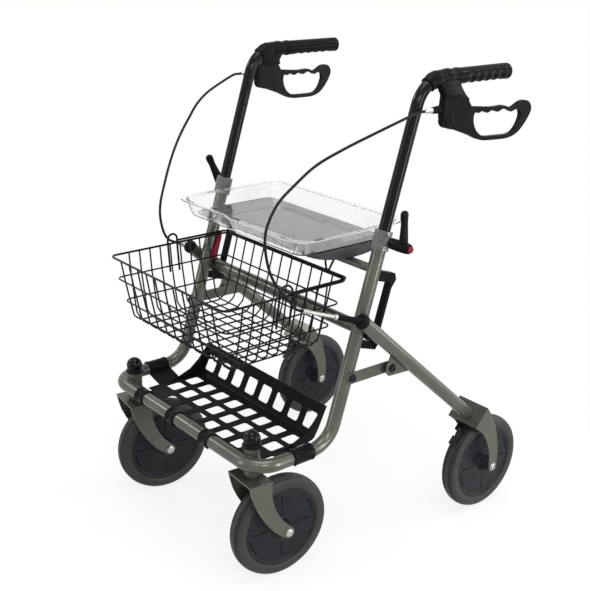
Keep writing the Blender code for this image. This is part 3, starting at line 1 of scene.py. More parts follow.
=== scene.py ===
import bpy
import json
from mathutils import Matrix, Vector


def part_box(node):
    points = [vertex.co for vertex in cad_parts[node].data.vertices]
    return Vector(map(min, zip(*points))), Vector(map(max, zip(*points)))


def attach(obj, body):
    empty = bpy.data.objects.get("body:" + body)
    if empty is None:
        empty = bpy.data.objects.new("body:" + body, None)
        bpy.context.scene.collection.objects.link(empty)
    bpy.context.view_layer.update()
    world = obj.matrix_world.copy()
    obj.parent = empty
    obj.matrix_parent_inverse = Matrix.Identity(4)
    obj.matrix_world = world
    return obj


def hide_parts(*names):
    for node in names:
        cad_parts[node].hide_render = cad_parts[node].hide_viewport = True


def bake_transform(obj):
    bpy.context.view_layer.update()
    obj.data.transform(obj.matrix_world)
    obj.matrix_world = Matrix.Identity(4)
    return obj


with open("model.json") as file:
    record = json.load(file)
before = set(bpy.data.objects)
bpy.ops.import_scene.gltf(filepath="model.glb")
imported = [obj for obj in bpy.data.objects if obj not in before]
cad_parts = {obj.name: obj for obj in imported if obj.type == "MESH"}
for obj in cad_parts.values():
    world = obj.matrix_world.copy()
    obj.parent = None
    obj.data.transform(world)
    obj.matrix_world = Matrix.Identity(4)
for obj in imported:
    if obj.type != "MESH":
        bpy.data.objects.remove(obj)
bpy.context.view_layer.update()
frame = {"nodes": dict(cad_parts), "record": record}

# %% [markdown]
# # Dressing a four-wheel walker
#
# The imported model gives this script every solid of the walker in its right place, on a body that
# moves as the real piece does. What it lacks is finish: round tubes, drawn wire, moulded plastic
# with soft edges, rubber, and a tray that can be seen through. Each cell below takes one piece
# or one finish, says what it is on the real walker, and builds it with arrays of points.
#
# Lengths are in metres. The walker faces -Y, +X is the user's left and +Z is up.

# %% Other modules, and the walker's own zero
import json
import math

import bmesh
import bpy
import numpy as np
from mathutils import Matrix, Vector

SIDES = (("left", 1), ("right", -1))
REAR_AXLE_Y = 0.239933          # where the drawing has the rear axles; its middle is at X = 0
nodes = frame["nodes"]
body_of = {node: body for body, members in frame["record"]["behaviour"]["bodies"].items()
           for node in members}


def centre(node):
    """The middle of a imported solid's box."""
    low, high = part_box(node)
    return (np.array(low) + np.array(high)) / 2


shift = np.array([centre("basket")[0], centre("rear_tyre_left")[1] - REAR_AXLE_Y, 0.0])


def on_side(sign, *grids):
    """Grids drawn for the left side: X times the side's sign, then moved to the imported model."""
    return [grid * [sign, 1, 1] + shift for grid in grids]


print("the drawing's zero lies at", shift.round(5))

# %% [markdown]
# ## The camera
#
# The photograph was taken with a short telephoto lens from the front left, a little above the
# handles. Its place and turn were solved from points that were measured on the wheels, tubes and
# basket, so the picture can be laid over the photograph.

# %% Camera at the photograph's angle
AZIMUTH = 0.8774                # radians, from -Y towards +X
ELEVATION = 0.3488
ROLL = 0.0215
CAMERA_PLACE = (1.4756, -1.2732, 1.1524)
FOCAL_LENGTH = 62.51            # mm, with a sensor 36 mm wide
PHOTO_WIDTH = 590               # pixels; the picture's middle is a few of them off the lens's
camera_data = bpy.data.cameras.new("camera")
camera_data.lens = FOCAL_LENGTH
camera_data.sensor_width = 36
camera_data.shift_x = 1.11 / PHOTO_WIDTH
camera_data.shift_y = -3.89 / PHOTO_WIDTH
looking = Vector((-math.sin(AZIMUTH) * math.cos(ELEVATION),
                  math.cos(AZIMUTH) * math.cos(ELEVATION), -math.sin(ELEVATION)))
level_right = looking.cross(Vector((0, 0, 1))).normalized()
level_up = level_right.cross(looking)
right = math.cos(ROLL) * level_right + math.sin(ROLL) * level_up
up = -math.sin(ROLL) * level_right + math.cos(ROLL) * level_up
camera = bpy.data.objects.new("camera", camera_data)
turned_axes = Matrix((right, up, -looking)).transposed()
camera.matrix_world = (Matrix.Translation(Vector(CAMERA_PLACE) + Vector(shift))
                       @ turned_axes.to_4x4())
bpy.context.scene.collection.objects.link(camera)
bpy.context.scene.camera = camera
print("camera stands at", [round(value, 3) for value in camera.matrix_world.translation])

# %% [markdown]
# ## Shapes as arrays
#
# Almost everything on the walker is round bar: tubes, wires, grips and cables. Such a shape is a
# ring of points carried along a path. Wheels, caps and bolts are a profile turned about an axis.
# Both give a grid of points, and a grid becomes a mesh in one step.


# %% From grids of points to a closed mesh
def grid_faces(rows, columns, first):
    """Quads between neighbouring rows, each row closed on itself; first numbers the first point."""
    row, column = np.meshgrid(np.arange(rows - 1), np.arange(columns), indexing="ij")
    following = (column + 1) % columns
    quads = [row * columns + column, row * columns + following,
             (row + 1) * columns + following, (row + 1) * columns + column]
    return (np.stack(quads, -1).reshape(-1, 4) + first).tolist()


def piece_from(name, grids, filled=True, sharp=35):
    """One object from grids of ring points. Filled closes the first and last ring of each."""
    points = []
    faces = []
    first = 0
    for grid in grids:
        rows, columns = grid.shape[:2]
        points.append(grid.reshape(-1, 3))
        faces += grid_faces(rows, columns, first)
        if filled:
            faces.append(list(range(first, first + columns)))
            faces.append(list(range(first + (rows - 1) * columns, first + rows * columns)))
        first += rows * columns
    mesh = bpy.data.meshes.new(name)
    mesh.from_pydata(np.vstack(points).tolist(), [], faces)
    return finished_object(name, mesh, sharp)


def finished_object(name, mesh, sharp):
    """Merge what meets, point the faces outwards, shade smooth below the sharp angle."""
    bm = bmesh.new()
    bm.from_mesh(mesh)
    bmesh.ops.remove_doubles(bm, verts=bm.verts, dist=1e-6)
    bmesh.ops.dissolve_degenerate(bm, edges=bm.edges, dist=1e-7)
    bmesh.ops.recalc_face_normals(bm, faces=bm.faces)
    bm.to_mesh(mesh)
    bm.free()
    mesh.shade_smooth()
    mesh.set_sharp_from_angle(angle=math.radians(sharp))
    piece = bpy.data.objects.new(name, mesh)
    bpy.context.scene.collection.objects.link(piece)
    return piece


print("three rings of eight points make", len(grid_faces(3, 8, 0)), "quads")


# %% A ring carried along a path, and a profile turned about an axis
def frames(path, side):
    """Tangent, side and up along a path; the side only turns as much as the path makes it."""
    steps = np.diff(path, axis=0)
    steps /= np.linalg.norm(steps, axis=1, keepdims=True)
    tangents = np.vstack([steps[:1], steps[:-1] + steps[1:], steps[-1:]])
    tangents /= np.linalg.norm(tangents, axis=1, keepdims=True)
    sides = []
    side = np.array(side, float)
    for tangent in tangents:
        side = side - tangent * side.dot(tangent)
        side = side / np.linalg.norm(side)
        sides.append(side)
    sides = np.array(sides)
    return tangents, sides, np.cross(tangents, sides)


def tube(path, radius, count=32, side=(1, 0, 0)):
    """Rings of count points: the path's point + radius * (cos a * side + sin a * up)."""
    path = np.asarray(path, float)
    tangents, sides, ups = frames(path, side)
    angle = np.linspace(0, math.tau, count, endpoint=False)
    ring = (np.cos(angle)[None, :, None] * sides[:, None]
            + np.sin(angle)[None, :, None] * ups[:, None])
    reach = np.broadcast_to(np.asarray(radius, float), (len(path),))
    return path[:, None] + reach[:, None, None] * ring


def rounded(corners, radii, step=math.radians(5)):
    """A path with arcs at its inner corners: centre + first * cos a + (normal x first) * sin a."""
    corners = [np.array(corner, float) for corner in corners]
    parts = [corners[:1]]
    for before, corner, after, radius in zip(corners, corners[1:], corners[2:], radii):
        arriving = (corner - before) / np.linalg.norm(corner - before)
        leaving = (after - corner) / np.linalg.norm(after - corner)
        bend = math.acos(float(np.clip(arriving.dot(leaving), -1, 1)))
        inward = (leaving - arriving) / np.linalg.norm(leaving - arriving)
        middle = corner + inward * radius / math.cos(bend / 2)
        first = corner - arriving * radius * math.tan(bend / 2) - middle
        normal = np.cross(arriving, leaving)
        normal /= np.linalg.norm(normal)
        angle = np.linspace(0, bend, max(3, round(bend / step)) + 1)[:, None]
        parts.append(middle + first * np.cos(angle) + np.cross(normal, first) * np.sin(angle))
    parts.append(corners[-1:])
    return np.vstack(parts)


def smooth_path(points, spacing, closed=False):
    """A curve through the points: Catmull-Rom pieces, read off again at even steps."""
    points = np.asarray(points, float)
    if closed:
        points = np.vstack([points, points[:1]])
        padded = np.vstack([points[-2:-1], points, points[1:2]])
    else:
        padded = np.vstack([2 * points[0] - points[1], points, 2 * points[-1] - points[-2]])
    share = np.linspace(0, 1, 16, endpoint=False)[:, None]
    before, start, end, after = (padded[index:len(padded) - 3 + index, None] for index in range(4))
    curve = 0.5 * (2 * start + (end - before) * share
                   + (2 * before - 5 * start + 4 * end - after) * share ** 2
                   + (3 * start - before - 3 * end + after) * share ** 3)
    curve = np.vstack([curve.reshape(-1, points.shape[1]), points[-1:]])
    run = np.concatenate([[0], np.cumsum(np.linalg.norm(np.diff(curve, axis=0), axis=1))])
    even = np.linspace(0, run[-1], max(2, round(run[-1] / spacing)) + 1)
    even_points = [np.interp(even, run, curve[:, axis]) for axis in range(points.shape[1])]
    return np.stack(even_points, -1)[:-1 if closed else None]


def smooth_step(value, low, high):
    """0 below low, 1 above high, and 3 t^2 - 2 t^3 between."""
    share = np.clip((value - low) / (high - low), 0, 1)
    return share * share * (3 - 2 * share)


def turned(profile, middle, axis, count):
    """Rings of a turned piece: middle + along * axis + radius * (cos a * side + sin a * up)."""
    profile = np.asarray(profile, float)
    axis = np.array(axis, float) / np.linalg.norm(axis)
    side = np.array((0, 0, 1) if abs(axis[2]) < 0.9 else (1, 0, 0), float)
    side = side - axis * axis.dot(side)
    side /= np.linalg.norm(side)
    upward = np.cross(axis, side)
    angle = np.linspace(0, math.tau, count, endpoint=False)
    ring = np.cos(angle)[:, None] * side + np.sin(angle)[:, None] * upward
    return (np.asarray(middle, float) + profile[:, :1, None] * axis
            + profile[:, 1:, None] * ring[None])


print("a square corner rounded in steps of 5 degrees has",
      len(rounded([(0, 0, 0), (1, 0, 0), (1, 1, 0)], [0.2])), "points")

# %% [markdown]
# ## Dressing a piece, and copies of solids with their edges rounded
#
# Each new piece is told which solid it stands for and which body carries it, so it moves with
# the joints, and it is given its material.
#
# A moulded or pressed piece never has a knife edge: its corners catch a thin line of light.
# Where the imported solid already has the right form, the visible piece is a copy of it whose loose
# triangles are merged, whose flat faces are made whole again, and whose edges get a small bevel.


def dress(piece, material, *stands_for, body=None):
    """Give a piece its material, the solid it stands for and the body that carries it."""
    piece.data.materials.clear()
    piece.data.materials.append(material)
    if stands_for:
        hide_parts(*stands_for)
    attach(piece, body or body_of[stands_for[0]])


print("bodies that pieces can ride on:", len(set(body_of.values())))


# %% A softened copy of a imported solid
def round_edges(piece, width, segments, limit):
    """A bevel of this width, left live, on each edge sharper than the limit in degrees."""
    rounding = piece.modifiers.new("rounded_edges", "BEVEL")
    rounding.width = width
    rounding.segments = segments
    rounding.limit_method = "ANGLE"
    rounding.angle_limit = math.radians(limit)
    rounding.harden_normals = True


def soften(node, name, material, bevel, segments=2, limit=38):
    """A merged copy of a solid takes its place, with a bevel on its sharp edges."""
    mesh = nodes[node].data.copy()
    mesh.materials.clear()
    bm = bmesh.new()
    bm.from_mesh(mesh)
    bmesh.ops.remove_doubles(bm, verts=bm.verts, dist=1e-5)
    bmesh.ops.dissolve_limit(bm, verts=bm.verts, edges=bm.edges, angle_limit=math.radians(0.5))
    bm.to_mesh(mesh)
    bm.free()
    mesh.name = name
    mesh.shade_smooth()
    mesh.set_sharp_from_angle(angle=math.radians(limit))
    piece = bpy.data.objects.new(name, mesh)
    bpy.context.scene.collection.objects.link(piece)
    round_edges(piece, bevel, segments, limit)
    dress(piece, material, node)


print("packed solids:", len(nodes))

# %% [markdown]
# ## Finishes
#
# Each finish is named for what the real one is. Its colour is written as it looks on a screen and
# turned to linear light by one function. Grain and dust are noise, at a scale worked out from
# real millimetres: a pattern of scale 1 / size repeats about once in that size.


# %% Colours and shader nodes
def linear(code):
    """A hex colour in linear light, with alpha."""
    values = [int(code[start:start + 2], 16) / 255 for start in (0, 2, 4)]
    return [value / 12.92 if value <= 0.04045 else ((value + 0.055) / 1.055) ** 2.4
            for value in values] + [1.0]


def add(material, kind, sockets=None, **settings):
    """Add one node. A socket given for an input is linked to it, and any other value is set."""
    tree = material.node_tree
    shader = tree.nodes.new(kind)
    for name, value in settings.items():
        setattr(shader, name, value)
    for name, value in (sockets or {}).items():
        if isinstance(value, bpy.types.NodeSocket):
            tree.links.new(value, shader.inputs[name])
        else:
            shader.inputs[name].default_value = value
    return shader


print("the middle grey 808080 is", round(linear("808080")[0], 3), "in linear light")


# %% One finish: plain values, and noise that runs its colour, its grain and its sheen
def finish(name, slot, colour, roughness, tint=None, grain=None, sheen=None, **more):
    """A material, with plain values first and then noise where it is asked for. Its slot is not used.

    Each noise has lumps of about so many mm, in the object's own coordinates.
    tint is (mm, detail, dark, light): it runs the colour from dark to light.
    grain is (mm, detail, depth): it raises bumps that many mm deep.
    sheen is (mm, detail, low, high): it runs the roughness between the two values."""
    material = bpy.data.materials.new(name)
    material.use_nodes = True
    inputs = material.node_tree.nodes["Principled BSDF"].inputs
    plain = {"Base Color": linear(colour), "Roughness": roughness, **more}
    for socket, value in plain.items():
        inputs[socket.replace("_", " ")].default_value = value
    place = add(material, "ShaderNodeTexCoord")
    for socket, wish in (("Base Color", tint), ("Normal", grain), ("Roughness", sheen)):
        if not wish:
            continue
        millimetres, detail, *ends = wish
        noise = add(material, "ShaderNodeTexNoise",
                    {"Vector": place.outputs["Object"], "Scale": 1000 / millimetres,
                     "Detail": detail, "Roughness": 0.5}).outputs["Fac"]
        if wish is tint:
            last = add(material, "ShaderNodeValToRGB", {"Fac": noise})
            for stop, position, code in zip(last.color_ramp.elements, (0.35, 0.65), ends):
                stop.position = position
                stop.color = linear(code)
        elif wish is grain:
            last = add(material, "ShaderNodeBump",
                       {"Height": noise, "Distance": ends[0] / 1000, "Strength": 1.0})
        else:
            last = add(material, "ShaderNodeMapRange",
                       {"Value": noise, "From Min": 0.3, "From Max": 0.7, "To Min": ends[0],
                        "To Max": ends[1]})
        material.node_tree.links.new(last.outputs[0], inputs[socket])
    return material


print("noise with lumps of 40 mm has a scale of", 1000 / 40)

# %% [markdown]
# ### Paint on the steel frame
#
# The frame is steel tube with a bronze grey metallic powder coat. The powder melts into a smooth
# skin, a little cloudy over a few centimetres, and the flakes in it give a sheen that is bright
# where it faces a lamp and dark at the turn of the tube.

# %% Bronze grey powder coat, and gloss black paint for the handles
# Metallic flakes under a thin clear skin: a soft, wide highlight and a cloudy bronze grey.
powder_coat = finish("bronze_grey_powder_coat", "frame_paint", "575950", 0.27, Metallic=0.55,
                     Specular_IOR_Level=0.25, tint=(40.0, 1.0, "54564E", "595B52"),
                     sheen=(40.0, 1.0, 0.25, 0.29))
# A sprayed and baked enamel: deep black with a narrow, slightly wavering highlight.
black_paint = finish("gloss_black_enamel", "black_paint", "090A0C", 0.16,
                     Specular_IOR_Level=0.15, sheen=(18.0, 2.0, 0.13, 0.2))
print("paints:", powder_coat.name, "and", black_paint.name)

# %% [markdown]
# ### Moulded plastics
#
# Nylon parts such as the clamps, the brake housings and the shelf are moulded in a spark-eroded
# tool, which leaves a fine even grain. The grain is under half a millimetre on the real part and
# is drawn a little coarser here, so that it shows. The caps on the casters are polished, and the
# clamp collars are smoked.

# %% Nylon, polished black, the dark grey seat, charcoal rims, red nylon and smoked plastic
# Spark-grained nylon with glass fibre: a dull black that breaks the highlight into fine grain.
black_nylon = finish("black_nylon", "black_plastic", "0D0E10", 0.34, Specular_IOR_Level=0.05,
                     tint=(9.0, 3.0, "0C0D0F", "121315"), grain=(0.7, 3.0, 0.012),
                     sheen=(14.0, 2.0, 0.3, 0.42))
# The same plastic from a polished tool: it mirrors the lamps as small sharp spots.
polished_black = finish("polished_black_plastic", "gloss_plastic", "060608", 0.07,
                        Specular_IOR_Level=0.15, sheen=(6.0, 2.0, 0.05, 0.1))
# Polypropylene: a waxy, even dark grey with a broad faint sheen.
seat_plastic = finish("dark_grey_polypropylene", "grey_plastic", "2A2D30", 0.42,
                      Specular_IOR_Level=0.25, tint=(22.0, 3.0, "272A2D", "2D3033"),
                      grain=(0.9, 3.0, 0.02), sheen=(30.0, 2.0, 0.36, 0.48))
# Moulded nylon, a little lighter than the black parts, so the creases of the rim show.
rim_plastic = finish("charcoal_nylon", "rim_plastic", "1B1E21", 0.34, Specular_IOR_Level=0.12,
                     tint=(16.0, 3.0, "181B1E", "1F2226"), grain=(0.8, 3.0, 0.01),
                     sheen=(20.0, 2.0, 0.3, 0.42))
# Nylon dyed through: a deep wine red that hardly changes with the angle.
red_nylon = finish("red_nylon", "red", "6E0E26", 0.34, Specular_IOR_Level=0.15,
                   tint=(7.0, 2.0, "680C23", "750E2A"), grain=(0.7, 3.0, 0.01))
# Clear plastic with grey dye: the tube inside shows through it darkly.
smoked_plastic = finish("smoked_polycarbonate", "smoked", "858886", 0.22, IOR=1.45,
                        Transmission_Weight=0.65, sheen=(8.0, 2.0, 0.18, 0.28))

# %% [markdown]
# ### Tyres, grips and wires
#
# The tyres are solid polyurethane, grey brown and a little dusty on the tread. The grips are a
# softer rubber. The basket's wire and the hanger are dipped in black plastic, which rounds every
# weld and stays slightly glossy. Axle bolts are zinc plated, with a faint cloudiness, and the
# screws of the links are blackened.

# %% Polyurethane, grip rubber, dipped wire, cable sheath, zinc and blackened steel
# Cast polyurethane: matt, warm grey, with a dusty cloudiness on the tread.
tyre_rubber = finish("grey_polyurethane", "tyre", "302E2D", 0.42, Specular_IOR_Level=0.22,
                     tint=(30.0, 4.0, "2D2B2A", "343231"), grain=(1.1, 3.0, 0.015),
                     sheen=(14.0, 2.0, 0.44, 0.58))
# Soft moulded rubber: black, with a satin highlight along its ribs.
grip_rubber = finish("black_grip_rubber", "grip", "0D0E0F", 0.3, Specular_IOR_Level=0.05,
                     tint=(6.0, 3.0, "0C0D0F", "121315"), grain=(0.8, 3.0, 0.01),
                     sheen=(10.0, 2.0, 0.24, 0.36))
# Steel wire dipped in plastic: a thin glossy line along each wire.
dipped_wire = finish("black_dipped_wire", "wire", "090A0C", 0.24, Specular_IOR_Level=0.13,
                     grain=(2.5, 2.0, 0.01), sheen=(9.0, 2.0, 0.2, 0.3))
# Extruded sheath over a steel coil: smooth satin black.
cable_sheath = finish("black_cable_sheath", "cable", "0A0B0D", 0.3, Specular_IOR_Level=0.13,
                      sheen=(12.0, 2.0, 0.26, 0.38))
# Bright zinc on steel: a pale mirror, a little clouded.
zinc_plate = finish("zinc_plated_steel", "zinc", "B7B7B2", 0.3, Metallic=0.95,
                    tint=(2.5, 3.0, "A5A5A0", "C4C4BF"), sheen=(3.0, 2.0, 0.22, 0.4))
# Chemically blackened steel: dark, but its edges still shine like metal.
black_steel = finish("blackened_steel", "zinc", "26272A", 0.32, Metallic=0.6,
                     Specular_IOR_Level=0.3, tint=(3.0, 3.0, "202124", "2D2E31"),
                     sheen=(4.0, 2.0, 0.26, 0.4))

# %% [markdown]
# ### The clear tray
#
# The tray is a thin clear moulding. Nearly all light goes through, and what tells the eye that
# something is there are its edges, its rim and a faint grey cast.

# %% Clear tray plastic
# Clear styrene with a polished surface: seen mainly by its edges and reflections.
clear_plastic = finish("clear_styrene", "clear", "F6F8F7", 0.03, IOR=1.42,
                       Transmission_Weight=1.0, sheen=(30.0, 2.0, 0.015, 0.05))

# %% [markdown]
# ## The lines of the frame
#
# From the side the frame is two lines: the uprights lean back from the deck, and the rear legs
# slope down from the cross tube that slides on the uprights. Each place on the frame is given as
# a distance along one of these lines, and square to it, as a welder would mark it on the tube.

# %% Sizes that the frame's pieces share
TUBE = 0.0254                   # across the tubes of the frame
UPRIGHT_X = 0.2395
UPRIGHT_LENGTH = 0.4006         # from the deck's bend to its open top
DECK_Z = 0.253                  # middle line of the side runs and the crossbar
CROSSBAR_Y = -0.3205
DECK_BEND_Y = -0.1566
LEAN = math.radians(16.55)      # of the uprights, back from upright
LEG_X = 0.269
LEG_DROP = math.radians(41.6)   # of the rear legs, below level
LEG_FRONT = 0.0558              # from the cross tube to a leg's upper end
PIVOT_ALONG = 0.2163            # up along the uprights: the cross tube, the links' lower
LINK_ALONG = 0.1322             # screws, the round bar under the seat and the clamps
BAR_ALONG = 0.3308
CLAMP_ALONG = 0.3851
HANDLE_Z = 0.896
WHEEL_RADIUS = 0.100
GAP = 0.0003                    # left between pieces that meet
lean_way = np.array([0.0, math.sin(LEAN), math.cos(LEAN)])
back_way = np.array([0.0, math.cos(LEAN), -math.sin(LEAN)])


def on_upright(along, back=0.0, x=UPRIGHT_X):
    """A point along an upright's middle line from the deck, and square to it towards the rear."""
    return np.array([x, DECK_BEND_Y, DECK_Z]) + lean_way * along + back_way * back


RAIL_ROOM = 0.002               # between the upright and the cross tube
cross = on_upright(PIVOT_ALONG, TUBE + RAIL_ROOM, 0.0)
leg_down = np.array([0.0, math.cos(LEG_DROP), -math.sin(LEG_DROP)])
leg_up = np.array([0.0, math.sin(LEG_DROP), math.cos(LEG_DROP)])


def on_leg(along, below=0.0):
    """A point along a rear leg from the cross tube, and square to it underneath."""
    return np.array([LEG_X, 0.0, 0.0]) + cross + leg_down * along - leg_up * below


print("cross tube at", cross.round(4))

# %% [markdown]
# ## Brake cables
#
# A thin sheathed cable leaves the front of each brake housing, runs straight for a moment, and
# falls in a wide bow to the metal adjuster in the cap of the rear leg. The outer sheath is stiff,
# so it never kinks. Its upper end moves with the handle and its lower end stays; the tube here
# is baked in place. The points of each bow were traced in the photograph with the
# solved camera; a smooth curve through them carries the ring.

# %% Both cables, from the housing to the adjuster
CABLE = 0.005                   # across the sheath
CABLE_END_RUN = 0.012           # straight at both ends
cable_start = np.array([0.264, 0.015, 0.8465])
boot_root = on_leg(-LEG_FRONT - 0.003)          # the boot grows out of the leg's cap
cable_routes = {
    "left": ((0.230, -0.2168, 0.5236),
             ((0.257, -0.027, 0.836), (0.240, -0.083, 0.813), (0.222, -0.133, 0.790),
              (0.206, -0.176, 0.766), (0.196, -0.212, 0.7365), (0.192, -0.243, 0.710),
              (0.191, -0.262, 0.681), (0.193, -0.272, 0.653), (0.198, -0.271, 0.614),
              (0.205, -0.263, 0.5815), (0.214, -0.246, 0.553))),
    "right": ((0.222, -0.1745, 0.5235),
              ((0.258, -0.010, 0.8455), (0.252, -0.0445, 0.8336), (0.246, -0.0817, 0.818),
               (0.240, -0.1107, 0.799), (0.235, -0.133, 0.775), (0.230, -0.1573, 0.7453),
               (0.225, -0.177, 0.7157), (0.220, -0.194, 0.683), (0.216, -0.2077, 0.650),
               (0.211, -0.2194, 0.6214), (0.2075, -0.2243, 0.5962), (0.206, -0.2214, 0.5707),
               (0.207, -0.2137, 0.5503), (0.2105, -0.2015, 0.537)))}
boot_lines = {}
for side, sign in SIDES:
    tip = np.array(cable_routes[side][0])
    boot_line = (tip - boot_root) / np.linalg.norm(tip - boot_root)
    boot_lines[side] = (tip, boot_line)
    bow = [cable_start - [0, CABLE_END_RUN, 0], *cable_routes[side][1],
           tip + boot_line * CABLE_END_RUN]
    route = np.vstack([cable_start - [0, GAP, 0], smooth_path(bow, 0.005), tip + boot_line * GAP])
    route = route * [sign, 1, 1] + shift
    cable = piece_from("brake_cable_" + side + "_sheath", [tube(route, CABLE / 2, 16)])
    cable.data.materials.append(cable_sheath)
    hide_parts("brake_cable_" + side)
    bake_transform(cable)

# %% [markdown]
# ## Frame tubes
#
# One long tube of 25.4 mm makes both uprights, the side runs and the crossbar. Its bends keep
# their full round section, so a ring carried along one path gives the whole tube. The open tops
# have a 1.5 mm wall, which shows when a handle is pulled up. Inside each front corner a short
# upright housing for the caster's stem is welded to the bend.

# %% The long front tube with its caster housings
UPRIGHT_BEND = 0.055
CORNER_RADIUS = 0.045
WALL = 0.0015
BORE_DEPTH = 0.2486             # reaches below the handle tube at its lowest height
upright_top = on_upright(UPRIGHT_LENGTH)
front_corners = [upright_top, (UPRIGHT_X, DECK_BEND_Y, DECK_Z), (UPRIGHT_X, CROSSBAR_Y, DECK_Z),
                 (-UPRIGHT_X, CROSSBAR_Y, DECK_Z), (-UPRIGHT_X, DECK_BEND_Y, DECK_Z),
                 upright_top * [-1, 1, 1]]
front_path = rounded(front_corners, [UPRIGHT_BEND, CORNER_RADIUS, CORNER_RADIUS, UPRIGHT_BEND])
outer_rings = tube(front_path, TUBE / 2, 40)


def lining(ring):
    """The mouth's ring drawn in by the wall, and the same ring at the floor of the bore."""
    middle = ring.mean(axis=0)
    inner = middle + (ring - middle) * (1 - WALL / (TUBE / 2))
    return inner, inner - lean_way * BORE_DEPTH


first_mouth, first_floor = lining(outer_rings[0])
last_mouth, last_floor = lining(outer_rings[-1])
front_rings = np.concatenate([[first_floor, first_mouth], outer_rings, [last_mouth, last_floor]])
STEM_X = 0.198
STEM_Y = -0.300
HOUSING_RADIUS = 0.015
HOUSING_BORE = 0.0095
HOUSING_LOW = 0.221
HOUSING_TOP = 0.2775
EDGE = 0.0015                   # how far along it both ends of a housing are rounded
housing_profile = [(HOUSING_LOW, HOUSING_BORE), (HOUSING_LOW, 0.0138),
                   (HOUSING_LOW + EDGE, HOUSING_RADIUS), (HOUSING_TOP - EDGE, HOUSING_RADIUS),
                   (HOUSING_TOP, 0.0138), (HOUSING_TOP, HOUSING_BORE)]
housings = [turned(housing_profile, (x, STEM_Y, 0), (0, 0, 1), 40) for x in (STEM_X, -STEM_X)]
front = piece_from("front_frame_tube", [rings + shift for rings in [front_rings, *housings]])
dress(front, powder_coat, "front_frame")
print("front tube:", len(front.data.polygons), "faces")

# %% [markdown]
# ### Weld beads
#
# Where two tubes are welded, a low bead with fine ripples runs along the seam. Each seam here is
# a curve that can be written down: the set of points that lie on both surfaces.


# %% Beads round the caster housings
def weld_bead(name, path, radius, body):
    """A thin bead along a path. Its radius ripples: radius * (1 + 0.18 * sin(1.9 * step))."""
    ripple = radius * (1 + 0.18 * np.sin(np.arange(len(path)) * 1.9))
    bead = piece_from(name, [tube(path + shift, ripple, 10, (0.31, 0.22, 0.92))])
    dress(bead, powder_coat, body=body)


def to_corner_tube(x, y):
    """How far a point lies from the middle line of the left front corner, seen from above."""
    bend_x = UPRIGHT_X - CORNER_RADIUS
    bend_y = CROSSBAR_Y + CORNER_RADIUS
    round_bend = np.hypot(x - bend_x, y - bend_y) - CORNER_RADIUS
    return np.where(x < bend_x, y - CROSSBAR_Y, np.where(y > bend_y, x - UPRIGHT_X, round_bend))


angle = np.radians(np.linspace(-180, 180, 721))
rim_x = STEM_X + HOUSING_RADIUS * np.cos(angle)
rim_y = STEM_Y + HOUSING_RADIUS * np.sin(angle)
room = (TUBE / 2) ** 2 - to_corner_tube(rim_x, rim_y) ** 2
inside = room > 0
rise = np.sqrt(room[inside])
upper = np.stack([rim_x[inside], rim_y[inside], DECK_Z + rise], -1)
lower = np.stack([rim_x[inside], rim_y[inside], DECK_Z - rise], -1)
for level, seam in (("upper", upper), ("lower", lower)):
    path = smooth_path(seam[::12], 0.0012)
    for side, sign in SIDES:
        weld_bead(f"housing_weld_{level}_{side}", path * [sign, 1, 1], 0.0011, "frame")
print("seam points on a housing:", int(inside.sum()))

# %% [markdown]
# ### Rear frame
#
# The rear legs are straight tubes welded to a cross tube. Each carries a pressed fin with the
# boss that the link turns on. The plates are outlines pushed across by their thickness, with a
# small bevel drawn into both faces. The links' screws have a socket head on a washer, and are
# blackened: a profile turned about the screw's own line gives head, washer and socket at once.

# %% Flat plates from an outline
def arc(middle, radius, start, end, count):
    """Points of an arc in a plane, from one angle in degrees to another."""
    turn = np.radians(np.linspace(start, end, count + 1))
    return np.column_stack([middle[0] + radius * np.cos(turn), middle[1] + radius * np.sin(turn)])


def slab(outline, low, high, bevel=0.0005):
    """Rings of a plate between two values of X; its (Y, Z) outline is drawn in at both faces."""
    outline = np.asarray(outline, float)
    away = outline - outline.mean(axis=0)
    drawn = outline - away * bevel / np.linalg.norm(away, axis=1, keepdims=True)
    places = [(low, drawn), (low + bevel, outline), (high - bevel, outline), (high, drawn)]
    return np.array([np.column_stack([np.full(len(ring), x), ring]) for x, ring in places])


print("a quarter circle in 8 steps has", len(arc((0, 0), 1, 0, 90, 8)), "points")

# %% Legs, cross tube, fins and bosses
FIN_ALONG = 0.0789              # the fin's boss along its leg, and below it
FIN_BELOW = 0.0283
FIN_INNER = 0.2625              # X of both faces of the fin
FIN_OUTER = 0.2655
AXLE_BELOW = 0.0587             # the rear axle, square to the line of its leg
FORK_LENGTH = 0.118
END_ROUND = 0.0012
LINK_THICKNESS = 0.0033
wheel_reach = (cross[2] - WHEEL_RADIUS - AXLE_BELOW * leg_up[2]) / -leg_down[2]
leg_rear = wheel_reach - FORK_LENGTH - GAP
fin_flat = np.vstack([[(FIN_ALONG - 0.024, 0.004)],
                      arc((FIN_ALONG, FIN_BELOW), 0.0155, 190, 70, 16),
                      [(FIN_ALONG + 0.038, 0.0165), (FIN_ALONG + 0.055, 0.004)]])
fin_outline = [on_leg(along, below)[1:] for along, below in fin_flat]
link_top = on_leg(FIN_ALONG, FIN_BELOW)
boss_start = UPRIGHT_X + TUBE / 2 + 2 * GAP + LINK_THICKNESS
boss_line = (0, link_top[1], link_top[2])
leg_runs = (-LEG_FRONT, END_ROUND - LEG_FRONT, leg_rear - END_ROUND, leg_rear)
leg_ends = [on_leg(along) for along in leg_runs]
leg_radii = TUBE / 2 - np.array([END_ROUND, 0, 0, END_ROUND])
one_side = [tube(leg_ends, leg_radii, 36), slab(fin_outline, FIN_INNER, FIN_OUTER),
            turned([(boss_start, 0.0058), (boss_start + 0.0008, 0.007), (FIN_OUTER - 0.001, 0.007)],
                   boss_line, (1, 0, 0), 28)]
